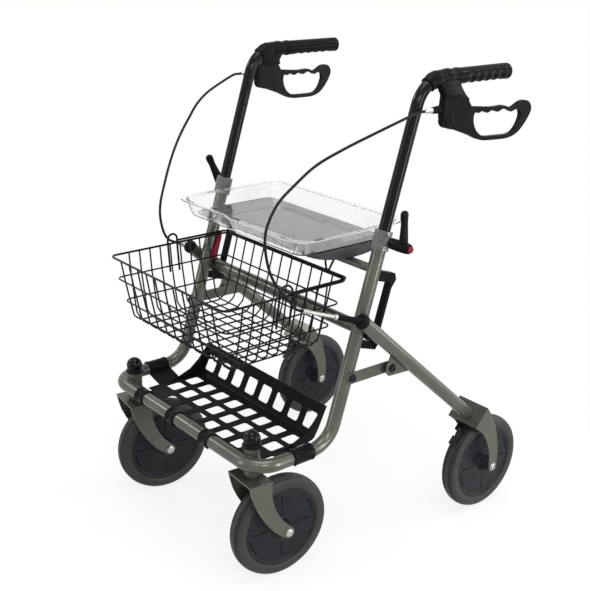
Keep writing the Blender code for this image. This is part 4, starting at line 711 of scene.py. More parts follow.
cross_tube = tube([(-LEG_X, cross[1], cross[2]), (LEG_X, cross[1], cross[2])], TUBE / 2, 36,
                  (0, 0, 1))
rear = piece_from("rear_frame_tubes", [cross_tube + shift, *on_side(1, *one_side),
                                       *on_side(-1, *one_side)])
dress(rear, powder_coat, "rear_frame")
print("rear frame:", len(rear.data.polygons), "faces")

# %% Black socket screws, each on a washer, at both pivots of each link
screw_profile = [(-0.0040, 0.0038), (0, 0.0038), (0, 0.0086), (0.0011, 0.0084),
                 (0.0012, 0.0064), (0.0036, 0.0063), (0.0041, 0.0057), (0.0041, 0.0036),
                 (0.0022, 0.0031)]
link_root = on_upright(LINK_ALONG)
for side, sign in SIDES:
    for name, face, middle, node in (("link_screw_", boss_start, link_root, "link_bolt_" + side),
                                     ("fin_screw_", FIN_OUTER + 0.0001, link_top, "rear_frame")):
        screw = turned(screw_profile, (face, middle[1], middle[2]), (1, 0, 0), 30)
        dress(piece_from(name + side, on_side(sign, screw)), black_steel, node)
print("screws have washers of", round(screw_profile[2][1] * 2000, 1), "mm")

# %% The round bar under the seat, and beads at both ends of the cross tube and the bar
BAR_RADIUS = 0.008
BAR_HALF = 0.2285
bar_axis = on_upright(BAR_ALONG)
bar_ends = bar_axis * [0, 1, 1] + np.array([[-BAR_HALF, 0, 0], [BAR_HALF, 0, 0]])
bar = piece_from("seat_bar", [tube(bar_ends, BAR_RADIUS, 28, (0, 0, 1)) + shift])
dress(bar, powder_coat, "seat_support_tube")
angle = np.linspace(0, math.tau, 61)
wall_reach = TUBE / 2 * np.abs(np.cos(angle))
cross_seam = (np.outer(LEG_X - wall_reach, [1, 0, 0]) + cross * [0, 1, 1]
              + np.outer(TUBE / 2 * np.cos(angle), leg_down)
              + np.outer(TUBE / 2 * np.sin(angle), leg_up))
seam_radius = BAR_RADIUS + 0.0002               # so that the bead's middle line clears the bar
around = seam_radius * np.cos(angle)
bar_reach = np.sqrt((TUBE / 2) ** 2 - around ** 2)
bar_seam = (np.outer(UPRIGHT_X - bar_reach, [1, 0, 0]) + bar_axis * [0, 1, 1]
            + np.outer(around, back_way) + np.outer(seam_radius * np.sin(angle), lean_way))
for side, sign in SIDES:
    weld_bead("cross_weld_" + side, cross_seam * [sign, 1, 1], 0.0012, "rear_legs")
    weld_bead("bar_weld_" + side, bar_seam * [sign, 1, 1], 0.0009, "frame")
print("bar lies at", bar_axis.round(4))

# %% [markdown]
# ## Handles and grips
#
# Each handle is a tube of 22.2 mm, painted gloss black, that slides in its upright and bends
# back into a grip. The grip is moulded rubber: an oval of finger dents runs along its lower
# outer side, and fine ribs round it keep it from slipping.

# %% Handle tubes
HANDLE_RADIUS = 0.0111
HANDLE_BEND = 0.060
INSERTION = 0.120               # how deep a handle tube stands in its upright
GRIP_START = 0.1205
GRIP_END = 0.2535
handle_corner = on_upright((HANDLE_Z - DECK_Z) / math.cos(LEAN))
handle_path = rounded([on_upright(UPRIGHT_LENGTH - INSERTION), handle_corner,
                       (UPRIGHT_X, GRIP_END - 0.005, HANDLE_Z)], [HANDLE_BEND], math.radians(4))
for side, sign in SIDES:
    rings = tube(handle_path * [sign, 1, 1] + shift, HANDLE_RADIUS, 36)
    dress(piece_from("handle_tube_" + side + "_paint", [rings]), black_paint,
          "handle_tube_" + side)
print("handle bends at", handle_corner.round(4))


# %% Grips with finger dents and fine ribs
GRIP_RADIUS = 0.0145
FINGERS = 5
FINGER_PITCH = 0.020
RIB_PITCH = 0.0025


def grip_rings():
    """Rings along Y. The radius is the grip's, less a dent where a finger lies, less a fine rib.

    A dent is half a cosine wave along the grip, and fades to nothing on the upper inner side."""
    along = np.linspace(GRIP_START, GRIP_END, 220)[:, None]
    turn = np.linspace(0, math.tau, 72, endpoint=False)[None]
    finger = (along - GRIP_START - 0.016) / FINGER_PITCH
    gripped = (finger > 0) & (finger < FINGERS)
    dent = np.where(gripped, (1 - np.cos(math.tau * finger)) / 2, 0)
    facing = np.clip(np.cos(turn + math.radians(50)), 0, None)
    rib = 0.00022 * (1 + np.cos(math.tau * (along - GRIP_START) / RIB_PITCH)) / 2 * gripped
    ends = np.clip(np.minimum(along - GRIP_START, GRIP_END - along) / 0.0010, 0, 1)
    end_round = 0.0010 * (1 - np.sqrt(1 - (1 - ends) ** 2))
    flange = 0.0008 * smooth_step(along, GRIP_END - 0.012, GRIP_END - 0.002) * facing
    radius = GRIP_RADIUS - 0.0026 * dent * facing - rib + flange - end_round
    return np.stack([UPRIGHT_X + radius * np.cos(turn), np.broadcast_to(along, radius.shape),
                     HANDLE_Z + radius * np.sin(turn)], -1)


for side, sign in SIDES:
    rubber = piece_from("grip_rubber_" + side, on_side(sign, grip_rings()), sharp=60)
    dress(rubber, grip_rubber, "grip_" + side)
print("grip is", round((GRIP_END - GRIP_START) * 1000, 1), "mm long")

# %% [markdown]
# ## Wheels
#
# The wheels are 200 mm across. A solid tyre of polyurethane sits on a moulded rim. The tread has
# fine grooves round it, and the rim's flat web has four thin creases and arcs pressed in near
# its edge, which stiffen it. Both are surfaces of turning: a profile in (along the
# axle, radius), and for the web a height that also depends on the angle.

# %% Tyre profile
HALF_TYRE = 0.0325 / 2
RIM_RADIUS = 0.0777


def tyre_profile():
    """Points (along the axle, radius). The tread's radius is the wheel's less 3.4 mm times the
    2.6th power of the share of the way out, less three bell-shaped grooves at each side."""
    across = np.linspace(-0.80, 0.80, 129)
    crown = WHEEL_RADIUS - 0.0034 * (np.abs(across) / 0.80) ** 2.6
    groove = 0.0021 * sum(np.exp(-((np.abs(across) - place) / 0.042) ** 2)
                          for place in (0.38, 0.54, 0.70))
    tread = np.column_stack([across * HALF_TYRE, crown - groove])
    shoulder = np.array([(0.88, 0.0048), (0.945, 0.0070), (0.985, 0.0100), (1.0, 0.0132),
                         (0.995, 0.0160), (0.96, 0.0186), (0.91, 0.0203), (0.88, 0.0212)])
    wall = np.column_stack([shoulder[:, 0] * HALF_TYRE, WHEEL_RADIUS - shoulder[:, 1]])
    inner = np.array([(0.87 * HALF_TYRE, RIM_RADIUS + GAP), (-0.87 * HALF_TYRE, RIM_RADIUS + GAP)])
    left = wall[::-1] * [-1, 1]
    loop = np.vstack([left, tread, wall, inner])
    return np.vstack([loop, loop[:1]])


print("the tyre's profile has", len(tyre_profile()), "points")


# %% Rim, with its hub, creases and grooves
CREASES = 4
PITCH = math.tau / CREASES
HUB_RADIUS = 0.0100
HUB_HALF = 0.0323               # half length of the hub, without its raised rings
EDGE_HALF = 0.0143              # half thickness of the rim at its edge


def web_face(radius, turn):
    """Half thickness of the rim at a radius and angle.

    A hub stands up from the flat web, and the edge rolls out to the tyre: sums of smooth steps of
    the radius. Less four thin creases that run straight outwards, smooth steps of the angle off
    the nearest one, and less bell-shaped grooves that run as arcs near the edge between them."""
    hub = HUB_HALF + 0.0019 * (1 - smooth_step(radius, 0.0082, 0.0098))
    cone = HUB_HALF + (0.0115 - HUB_HALF) * smooth_step(radius, 0.0100, 0.0190)
    face = np.where(radius < HUB_RADIUS, hub, cone)
    face = face + 0.0010 * smooth_step(radius, 0.026, 0.029)
    face = face + (EDGE_HALF - 0.0125) * smooth_step(radius, 0.0715, 0.0745)
    off = (turn + PITCH / 2) % PITCH - PITCH / 2
    on_web = smooth_step(radius, 0.030, 0.032) * (1 - smooth_step(radius, 0.062, 0.064))
    crease = 0.0030 * (1 - smooth_step(np.abs(off), 0.011, 0.019)) * on_web
    along_arc = smooth_step(off, 0.12, 0.16) * (1 - smooth_step(off, 0.62, 0.66))
    arc_groove = 0.0022 * np.exp(-((radius - 0.0685) / 0.0012) ** 2) * along_arc
    return face - crease - arc_groove


def rim_grids():
    """Both faces of the rim and the bed of the tyre, as one closed grid round the axle."""
    radii = np.concatenate([np.linspace(0.0046, HUB_RADIUS, 8), np.linspace(0.0104, 0.0200, 14),
                            np.linspace(0.0215, 0.0290, 8), np.linspace(0.0300, 0.0320, 4),
                            np.linspace(0.0340, 0.0610, 12), np.linspace(0.0620, 0.0640, 4),
                            np.linspace(0.0646, 0.0755, 24), [0.0764, 0.0772]])[:, None]
    near_crease = np.array([-0.023, -0.019, -0.017, -0.015, -0.013, -0.011, 0.011, 0.013, 0.015,
                            0.017, 0.019, 0.023])
    turn = np.concatenate([near_crease, np.linspace(0.045, PITCH - 0.045, 42)])
    turn = np.concatenate([turn + PITCH * part for part in range(CREASES)])[None]
    face = web_face(radii, turn)
    face = np.where(radii > 0.0755, EDGE_HALF - (radii - 0.0755) * 0.3, face)
    points = np.stack([face, radii * np.cos(turn), radii * np.sin(turn)], -1)
    other = points[::-1] * [-1, 1, 1]
    edge = np.stack([np.array([[0.0137], [-0.0137]]) + 0 * turn,
                     RIM_RADIUS * np.cos(turn) + np.zeros((2, 1)),
                     RIM_RADIUS * np.sin(turn) + np.zeros((2, 1))], -1)
    return np.concatenate([points, edge, other, points[:1]])


print("the web is", round(float(web_face(0.050, PITCH / 2)) * 2000, 1), "mm thick")


# %% From a grid about X to a wheel's own axle
def along_axle(grid, middle, axis):
    """Carry a grid drawn about X to a wheel: X goes along the axle and Z stays nearly up."""
    axis = np.array(axis, float) / np.linalg.norm(axis)
    level = np.cross((0, 0, 1), axis)
    return middle + grid[..., :1] * axis + grid[..., 1:2] * level + grid[..., 2:] * [0, 0, 1]


print("an axle at 90 degrees carries X to", along_axle(np.eye(3)[:1], 0, (0, 1, 0))[0])

# %% Axle bolts: a low hexagon head on a washer, at both ends of a pin
BOLT_REACH = 0.0378             # from the middle of the wheel to the face of the fork


def bolt_grids():
    """A pin through the hub, and at each end a washer and a bevelled hexagon, turned about X."""
    washer = [(0, 0.0078), (0.0007, 0.0078), (0.0010, 0.0073), (0.0010, 0.001)]
    head = [(0.0009, 0.0058), (0.0027, 0.0058), (0.0032, 0.0058 * 0.88), (0.0032, 0.0058 * 0.52),
            (0.0018, 0.0058 * 0.48)]
    grids = [turned([(-BOLT_REACH, 0.004), (BOLT_REACH, 0.004)], (0, 0, 0), (1, 0, 0), 20)]
    for sign in (1, -1):
        for profile, count in ((washer, 36), (head, 6)):
            grids.append(turned(profile, (BOLT_REACH, 0, 0), (1, 0, 0), count) * [sign, 1, 1])
    return grids


print("a bolt's head is", round(np.ptp(bolt_grids()[2][..., 0]) * 1000, 1), "mm high")

# %% All four wheels in their places, the casters turned as in the photograph
swivels = {"left": math.radians(-4.7), "right": math.radians(-7.5)}
for end in ("front", "rear"):
    for side, sign in SIDES:
        turn = swivels[side] if end == "front" else 0.0
        axis = (math.cos(turn), math.sin(turn), 0)
        middle = centre(f"{end}_tyre_{side}")
        tyre = piece_from(f"{end}_tyre_{side}_rubber",
                          [turned(tyre_profile(), middle, axis, 144)], filled=False)
        dress(tyre, tyre_rubber, f"{end}_tyre_{side}")
        rim = piece_from(f"{end}_rim_{side}_web", [along_axle(rim_grids(), middle, axis)],
                         filled=False, sharp=50)
        dress(rim, rim_plastic, f"{end}_rim_{side}")
        bolt = piece_from(f"{end}_axle_{side}_bolt",
                          [along_axle(grid, middle, axis) for grid in bolt_grids()])
        dress(bolt, zinc_plate, f"{end}_axle_{side}")
print("a tyre has", len(tyre.data.polygons), "faces and a rim", len(rim.data.polygons))

# %% [markdown]
# ## Forks and caster caps
#
# The forks are pressed from 3 mm sheet and painted like the frame. Their solids have the right
# form, so the visible forks are softened copies, whose round edges catch the light. The caps on
# the caster housings are polished balls on a flared foot, drawn by turning a profile.

# %% Forks, and the domes over the stems
BALL = 0.0158                   # radius of the ball
for side, sign in SIDES:
    for fork in ("caster_fork_", "rear_fork_"):
        soften(fork + side, fork + side + "_pressing", powder_coat, 0.0017, 4, 40)
    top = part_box("caster_cap_" + side)[1].z
    foot = HOUSING_TOP + GAP
    tilt = np.radians(np.linspace(-24, 89.5, 30))
    ball = np.column_stack([top - BALL + BALL * np.sin(tilt), BALL * np.cos(tilt)])
    profile = np.vstack([[(foot, 0.0170), (foot + 0.0008, 0.0180), (foot + 0.0030, 0.0180),
                          (foot + 0.0044, 0.0168), (ball[0, 0] - 0.0010, 0.0142)], ball])
    stem_middle = np.array([sign * STEM_X, STEM_Y, 0]) + shift
    dome = piece_from("caster_dome_" + side, [turned(profile, stem_middle, (0, 0, 1), 56)])
    dress(dome, polished_black, "caster_cap_" + side)
print("dome is", round((top - foot) * 1000, 1), "mm high")

# %% [markdown]
# ## Brakes
#
# The brake housing is a nylon moulding: a sleeve with two raised bands on the bend of the handle,
# a neck that leans outwards, and two cheeks that hold the lever between them on a pin. The lever
# is a closed loop with a hooked end and ripples for the fingers.

# %% Where the lever's pin lies, and the plane it swings in
SPLAY = math.radians(4.5)       # the levers open outwards towards the rear
LEVER_X = 0.2602                # where the lever's plane would meet Y = 0
PIN_Y = 0.070
NECK_Y = 0.09                   # the middle of the neck
CHEEK_INNER = 0.0048            # from the lever's plane to both faces of a cheek
CHEEK_OUTER = 0.0084
PIVOT = np.array([LEVER_X + math.tan(SPLAY) * PIN_Y, PIN_Y, HANDLE_Z - 0.0705])
cheek_x = LEVER_X + math.tan(SPLAY) * NECK_Y


def in_brake_plane(grid):
    """Carry a grid drawn about the pin into the lever's plane: a turn by the splay about Z."""
    return PIVOT + grid @ np.array([[math.cos(SPLAY), -math.sin(SPLAY), 0],
                                    [math.sin(SPLAY), math.cos(SPLAY), 0], [0, 0, 1]])


print("the pin lies at", PIVOT.round(4))


# %% The neck between the sleeve and the cheeks
def neck_rings(knots):
    """Rings with round corners, stacked in Z, between knots of (Z, X, half width, front, back)."""
    knots = np.array(knots, float)
    heights = np.linspace(knots[0, 0], knots[-1, 0], 16)
    rings = []
    turn = np.linspace(0, math.tau, 40, endpoint=False)
    for height in heights:
        x, half, front, back = [np.interp(height, knots[::-1, 0], knots[::-1, column])
                                for column in range(1, 5)]
        radius = min(0.0030, half * 0.8)
        across = np.sign(np.cos(turn)) * (half - radius) + radius * np.cos(turn)
        along = np.sign(np.sin(turn)) * ((back - front) / 2 - radius) + radius * np.sin(turn)
        y = (front + back) / 2 + along
        rings.append(np.column_stack([x + across + math.tan(SPLAY) * (y - NECK_Y), y,
                                      np.full(len(turn), HANDLE_Z + height)]))
    return np.array(rings)


neck = neck_rings([(-0.0040, UPRIGHT_X + 0.004, 0.0100, 0.063, 0.111),
                   (-0.0180, cheek_x - 0.0140, 0.0095, 0.0665, 0.1105),
                   (-0.0270, cheek_x - 0.0070, 0.0090, 0.0655, 0.1120),
                   (-0.0362, cheek_x - 0.0022, 0.0086, 0.0600, 0.1185)])
print("neck:", neck.shape[0], "rings of", neck.shape[1], "points")

# %% Brake housing: sleeve, cheeks, boss and cable seat
sleeve_corner = rounded([upright_top, handle_corner, (UPRIGHT_X, GRIP_START - 0.0015, HANDLE_Z)],
                        [HANDLE_BEND], math.radians(2))
sleeve_run = smooth_path(sleeve_corner[sleeve_corner[:, 1] > handle_corner[1] + 0.0105], 0.0009)
far = np.linspace(0, 1, len(sleeve_run))
bands = (np.exp(-((far - 0.22) / 0.11) ** 6) + np.exp(-((far - 0.66) / 0.09) ** 6)
         + np.exp(-((far - 0.97) / 0.06) ** 6))
sleeve = tube(sleeve_run, 0.0141 + 0.0013 * np.clip(bands, 0, 1), 44)
cheek_curve = smooth_path([(-0.0138, 0.0240), (-0.0136, 0.0120), (-0.0128, 0.0040),
                           (-0.0115, -0.0050), (-0.0050, -0.0118), (0.0080, -0.0150),
                           (0.0250, -0.0165), (0.0420, -0.0190), (0.0560, -0.0160),
                           (0.0590, -0.0040), (0.0575, 0.0090), (0.0530, 0.0200),
                           (0.0465, 0.0300), (0.0400, 0.0385), (0.0200, 0.0398),
                           (-0.0060, 0.0385), (-0.0115, 0.0340)], 0.0015, closed=True)
cheeks = [in_brake_plane(slab(cheek_curve, low, high, 0.0009))
          for low, high in ((-CHEEK_OUTER, -CHEEK_INNER), (CHEEK_INNER, CHEEK_OUTER))]
wall_outline = [(-0.0128, -0.002), (-0.0128, 0.036), (-0.0112, 0.036), (-0.0112, -0.002)]
front_wall = in_brake_plane(slab(wall_outline, 0.001 - CHEEK_OUTER, CHEEK_OUTER - 0.001, 0.0002))
boss = in_brake_plane(turned([(CHEEK_OUTER - 0.001, 0.0092), (CHEEK_OUTER + 0.0012, 0.0088),
                              (CHEEK_OUTER + 0.0018, 0.0078), (CHEEK_OUTER + 0.0018, 0.0050),
                              (CHEEK_OUTER + 0.0008, 0.0044)], (0, 0, 0), (1, 0, 0), 36))
seat_profile = [(0.0180, 0.0046), (0.0195, 0.0058), (0.0300, 0.0066), (0.0460, 0.0074)]
cable_seat = turned(seat_profile, cable_start, (0, 1, 0), 28)
FERRULE_GROOVE = 0.0018
ferrule_run = np.linspace(0, 0.0180, 46)
knurl = 0.0003 * np.cos(math.tau * ferrule_run / FERRULE_GROOVE) * (ferrule_run > 0.006)
ferrule_radius = 0.0032 + 0.0010 * smooth_step(ferrule_run, 0.004, 0.006) + knurl
ferrule = turned(np.column_stack([ferrule_run, ferrule_radius]), cable_start, (0, 1, 0), 24)
for side, sign in SIDES:
    housing = piece_from("brake_housing_" + side,
                         on_side(sign, sleeve, neck, *cheeks, front_wall, boss, cable_seat), sharp=40)
    dress(housing, black_nylon, "brake_body_" + side)
    adjuster = piece_from("cable_ferrule_" + side, on_side(sign, ferrule))
    dress(adjuster, zinc_plate, body=body_of["brake_body_" + side])
print("housing:", len(housing.data.polygons), "faces")

# %% Lever: an outline and a window, both smooth curves, filled between and given thickness
tongue = arc((0, 0), 0.0105, 100, 245, 8)
lever_outside = np.vstack([tongue, [
    (0.0226, -0.0190), (0.0506, -0.0290), (0.0718, -0.0382), (0.0900, -0.0430),
    (0.1180, -0.0445), (0.1473, -0.0448), (0.1660, -0.0412), (0.1800, -0.0340),
    (0.1930, -0.0215), (0.2030, -0.0080), (0.2080, 0.0030), (0.2050, 0.0140),
    (0.1960, 0.0208), (0.1850, 0.0215), (0.1750, 0.0190), (0.1640, 0.0135),
    (0.1540, 0.0105), (0.1430, 0.0145), (0.1334, 0.0168), (0.1190, 0.0162),
    (0.1050, 0.0162), (0.0800, 0.0185), (0.0565, 0.0205), (0.0400, 0.0190),
    (0.0250, 0.0145)]])
lever_inside = np.array([
    (0.0640, 0.0085), (0.0620, 0.0020), (0.0628, -0.0070), (0.0665, -0.0170), (0.0740, -0.0265),
    (0.0850, -0.0335), (0.1000, -0.0362), (0.1250, -0.0372), (0.1500, -0.0375), (0.1620, -0.0350),
    (0.1720, -0.0270), (0.1790, -0.0150), (0.1815, -0.0050), (0.1790, 0.0040), (0.1715, 0.0072),
    (0.1630, 0.0055), (0.1560, 0.0035), (0.1500, 0.0060), (0.1430, 0.0092), (0.1340, 0.0102),
    (0.1270, 0.0078), (0.1200, 0.0060), (0.1130, 0.0092), (0.1060, 0.0102), (0.1000, 0.0078),
    (0.0940, 0.0064), (0.0880, 0.0096), (0.0820, 0.0108), (0.0770, 0.0088), (0.0720, 0.0078),
    (0.0680, 0.0104)])
lever_loops = [smooth_path(loop, 0.0016, closed=True) for loop in (lever_outside, lever_inside)]


def filled_between(name, loops, place):
    """A flat face with a window: both loops become edges, and the fill leaves the window open."""
    bm = bmesh.new()
    edges = []
    for loop in loops:
        flat = place(np.column_stack([np.zeros(len(loop)), loop]))
        corners = [bm.verts.new(point) for point in flat]
        edges += [bm.edges.new(pair) for pair in zip(corners, corners[1:] + corners[:1])]
    bmesh.ops.triangle_fill(bm, use_beauty=True, use_dissolve=False, edges=edges)
    mesh = bpy.data.meshes.new(name)
    bm.to_mesh(mesh)
    bm.free()
    return finished_object(name, mesh, 40)


def thicken(piece, thickness, bevel, segments):
    """Thickness to both sides of the surface, then a bevel on every sharp edge."""
    depth = piece.modifiers.new("thickness", "SOLIDIFY")
    depth.thickness = thickness
    depth.offset = 0
    round_edges(piece, bevel, segments, 50)


for side, sign in SIDES:
    lever = filled_between("brake_loop_" + side, lever_loops,
                           lambda grid: in_brake_plane(grid) * [sign, 1, 1] + shift)
    print("lever:", len(lever.data.polygons), "flat faces before it gets its thickness")
    thicken(lever, 0.0090, 0.0021, 3)
    dress(lever, black_nylon, "brake_lever_" + side)

# %% Brake blocks and shoes at the rear wheels
for side in ("left", "right"):
    soften("brake_block_" + side, "brake_holder_" + side, black_nylon, 0.0006)
    soften("brake_shoe_" + side, "brake_pad_" + side, black_steel, 0.0004)
print("blocks follow", body_of["brake_block_left"], "and shoes", body_of["brake_shoe_left"])

# %% [markdown]
# ## Wire basket
#
# The basket is welded from drawn wire: closed loops round the walls, and U-shaped wires that run
# down one wall, under the floor and up the other. The two sets of U wires cross on the floor, one
# lying on the other, and the upright wires lie inside the loops. Dipping in black plastic rounds
# every joint. Each wire is a tube along its own path.

# %% Levels and pitches of the basket
WIRE = 0.0032
RIM_WIRE = 0.0042
rim_level = np.array((0.186, -0.3515, -0.0765, 0.5376))     # half width, front, back, height
middle_level = np.array((0.180, -0.343, -0.087, 0.4936))
low_level = np.array((0.170, -0.333, -0.0986, 0.449))
floor_level = np.array((0.160, -0.324, -0.110, 0.410))
bend_level = low_level + (floor_level - low_level) * 0.7
wires_x = 0.0296 * (np.arange(11) - 5)
wires_y = (floor_level[1] + floor_level[2]) / 2 + 0.0235 * (np.arange(9) - 4)
print("wires:", len(wires_x), "one way and", len(wires_y), "the other")


# %% A loop round the walls, and a U under the floor
def loop_rings(level, radius):
    """A closed rectangle round the basket at one level, with round corners of 14 mm."""
    half, front, back, z = level + np.array([GAP, 2 * GAP, GAP, 0])
    corners = [(0, front, z), (half, front, z), (half, back, z), (-half, back, z),
               (-half, front, z), (0, front, z)]
    ring = tube(rounded(corners, [0.014] * 4, math.radians(7)), radius, 14, (0, 0, 1))
    return np.concatenate([ring[:-1], ring[:1]])


def u_rings(down, floor, up, low_bends, side):
    """A wire down one wall, along the floor and up the other: rings along a path whose bends have
    a radius of 30 mm at the two upper levels, and the two given radii further down."""
    bends = [0.030, 0.030, *low_bends]
    return tube(rounded([*down, *floor, *up], bends + bends[::-1], math.radians(9)), WIRE / 2, 12,
                side)


print("the rim's loop has", len(loop_rings(rim_level, RIM_WIRE / 2)), "rings")

# %% The basket's wires
INSET = 0.0013                  # the upright wires lie inside the loops
LONG_WIRES_Z = 0.4100           # the wires that run from front to back lie under the others
CROSS_WIRES_Z = 0.4130
loops = [loop_rings(level, radius) for level, radius in (
    (rim_level, RIM_WIRE / 2), (middle_level, WIRE / 2), (low_level, WIRE / 2))]
levels = (rim_level, middle_level, low_level, bend_level)
u_wires = []
for x in wires_x:
    front_down = [(x, level[1] + INSET, level[3]) for level in levels]
    back_up = [(x, level[2] - INSET, level[3]) for level in reversed(levels)]
    floor_run = [(x, wires_y[0], LONG_WIRES_Z), (x, wires_y[-1], LONG_WIRES_Z)]
    u_wires.append(u_rings(front_down, floor_run, back_up, (0.012, 0.010), (1, 0, 0)))
for y in wires_y:
    right_down = [(-level[0] + INSET, y, level[3]) for level in levels]
    left_up = [(level[0] - INSET, y, level[3]) for level in reversed(levels)]
    floor_run = [(wires_x[0], y, CROSS_WIRES_Z), (wires_x[-1], y, CROSS_WIRES_Z)]
    u_wires.append(u_rings(right_down, floor_run, left_up, (0.008, 0.008), (0, 1, 0)))
net = piece_from("basket_wires", on_side(1, *u_wires))
closed_loops = piece_from("basket_loops", on_side(1, *loops), filled=False)
dress(net, dipped_wire, "basket")
dress(closed_loops, dipped_wire, body=body_of["basket"])
print("basket:", len(net.data.polygons) + len(closed_loops.data.polygons), "faces")

# %% [markdown]
# ### Hanger
#
# A heavier wire runs round the rear half of the basket. Two V-shaped hooks on it reach over the
# round bar under the seat, and a tall loop at each side holds the basket's rim and guides the
# brake cable.

# %% Hanger wire, hooks and side loops
SIDE_LOOP_X = 0.1905
SIDE_LOOP_FOOT = 0.480          # the height that its two feet reach down to
back_y = rim_level[2]
rim_z = rim_level[3]
hanger_z = rim_z + WIRE * 0.6 + RIM_WIRE / 2 + GAP
hanger_half = rim_level[0] + 0.002
side_loops = {1: (-0.237, -0.208), -1: (-0.2183, -0.1966)}     # front and rear, left and right
hanger_corners = [(-hanger_half, side_loops[-1][1], hanger_z), (-hanger_half, back_y, hanger_z),
                  (hanger_half, back_y, hanger_z), (hanger_half, side_loops[1][1], hanger_z)]
hanger_grids = [tube(rounded(hanger_corners, [0.012, 0.012]), RIM_WIRE / 2, 16, (0, 0, 1))]
hook_radius = BAR_RADIUS + GAP + 0.0005 + RIM_WIRE / 2
hook_arc = arc(bar_axis[1:], hook_radius, 195, -20, 24)
for foot in (-0.163, 0.131):
    over_bar = np.column_stack([np.full(len(hook_arc), foot + 0.0140), hook_arc])
    foot_point = np.array([foot, back_y + 0.0007, hanger_z + 0.0011])
    v_corners = [(foot - 0.0085, back_y, hanger_z + 0.027), foot_point - [0.0035, 0, 0],
                 foot_point + [0.0035, 0, 0], over_bar[0]]
    v_path = rounded(v_corners, [0.0030, 0.0030], math.radians(12))
    hanger_grids.append(tube(np.vstack([v_path, over_bar[1:]]), RIM_WIRE / 2, 14, (0, 1, 0)))
wall_drop = (rim_z - SIDE_LOOP_FOOT) / (rim_z - middle_level[3])
foot_x = SIDE_LOOP_X - (rim_level[0] - middle_level[0]) * wall_drop
for sign, (front_y, rear_y) in side_loops.items():
    bow = arc(((front_y + rear_y) / 2, rim_z + 0.007), (rear_y - front_y) / 2, 0, 180, 16)
    path = [(sign * foot_x, rear_y, SIDE_LOOP_FOOT), (sign * SIDE_LOOP_X, rear_y, rim_z)]
    path += [(sign * SIDE_LOOP_X, y, z) for y, z in bow]
    path += [(sign * SIDE_LOOP_X, front_y, rim_z), (sign * foot_x, front_y, SIDE_LOOP_FOOT)]
    hanger_grids.append(tube(path, RIM_WIRE / 2, 14))
hanger = piece_from("basket_hanger_wire", on_side(1, *hanger_grids))
dress(hanger, dipped_wire, "basket_hanger")
print("hanger:", len(hanger.data.polygons), "faces")

# %% [markdown]
# ## Seat, tray and shelf
#
# The seat is a grey moulded shell with a bellied edge. The tray that lies on it is clear, so the
# seat shows through its floor.

# %% Seat board and clear tray
soften("seat_board", "seat_shell", seat_plastic, 0.0010, 3, 30)
soften("tray", "tray_shell", clear_plastic, 0.0009, 3, 25)
print("seat turns with", body_of["seat_board"], "and the tray lifts with", body_of["tray"])

# %% [markdown]
# ### Lower shelf
#
# The shelf is one moulded sheet, 3 mm thick, bent up at the back, with rows of holes that have
# round corners. It is drawn flat as cells of (across, along the sheet), each with or without a
# hole, then laid over the bent line. C-shaped clips hold it on the crossbar and the side runs.

# %% The line the sheet follows, seen from the side
PER_SIDE = 12                   # points along each side of a cell
FLOOR_Z = 0.2365
shelf_corners = [(0, CROSSBAR_Y + 0.0190, DECK_Z + 0.003), (0, CROSSBAR_Y + 0.0225, 0.2400),
                 (0, CROSSBAR_Y + 0.0325, FLOOR_Z), (0, -0.160, FLOOR_Z), (0, -0.148, 0.2400),
                 (0, -0.138, 0.2560), (0, -0.118, 0.2980)]
shelf_line = rounded(shelf_corners, [0.004, 0.012, 0.020, 0.010, 0.020], math.radians(3))
run = np.concatenate([[0], np.cumsum(np.linalg.norm(np.diff(shelf_line, axis=0), axis=1))])
print("the sheet is", round(run[-1] * 1000, 1), "mm long along its bends")


def run_at(y=None, z=None):
    """How far along the line it reaches this Y on the floor, or this height on the back wall."""
    if y is not None:
        return float(np.interp(y, shelf_line[:, 1], run))
    wall = shelf_line[:, 1] > -0.165
    return float(np.interp(z, shelf_line[wall, 2], run[wall]))


def laid_on(flat):
    """Points (across, along the sheet) on the bent line."""
    return np.column_stack([flat[:, 0], np.interp(flat[:, 1], run, shelf_line[:, 1]),
                            np.interp(flat[:, 1], run, shelf_line[:, 2])])


# %% Cells of the sheet, with and without a hole
CORNER_SHARE = 0.55             # of each half side, whose points the hole's corner takes
HOLE_PITCH = 0.046
HOLE_HALF_WIDTH = 0.0153
HOLE_CORNER = 0.0052


def plain_cell(x_low, x_high, low, high):
    """Quads of a cell without a hole, on an even grid."""
    across, along = np.meshgrid(np.linspace(x_low, x_high, PER_SIDE + 1),
                                np.linspace(low, high, PER_SIDE + 1), indexing="ij")
    grid = np.stack([across, along], -1)
    quads = [grid[:-1, :-1], grid[1:, :-1], grid[1:, 1:], grid[:-1, 1:]]
    return np.stack(quads, -2).reshape(-1, 4, 2)


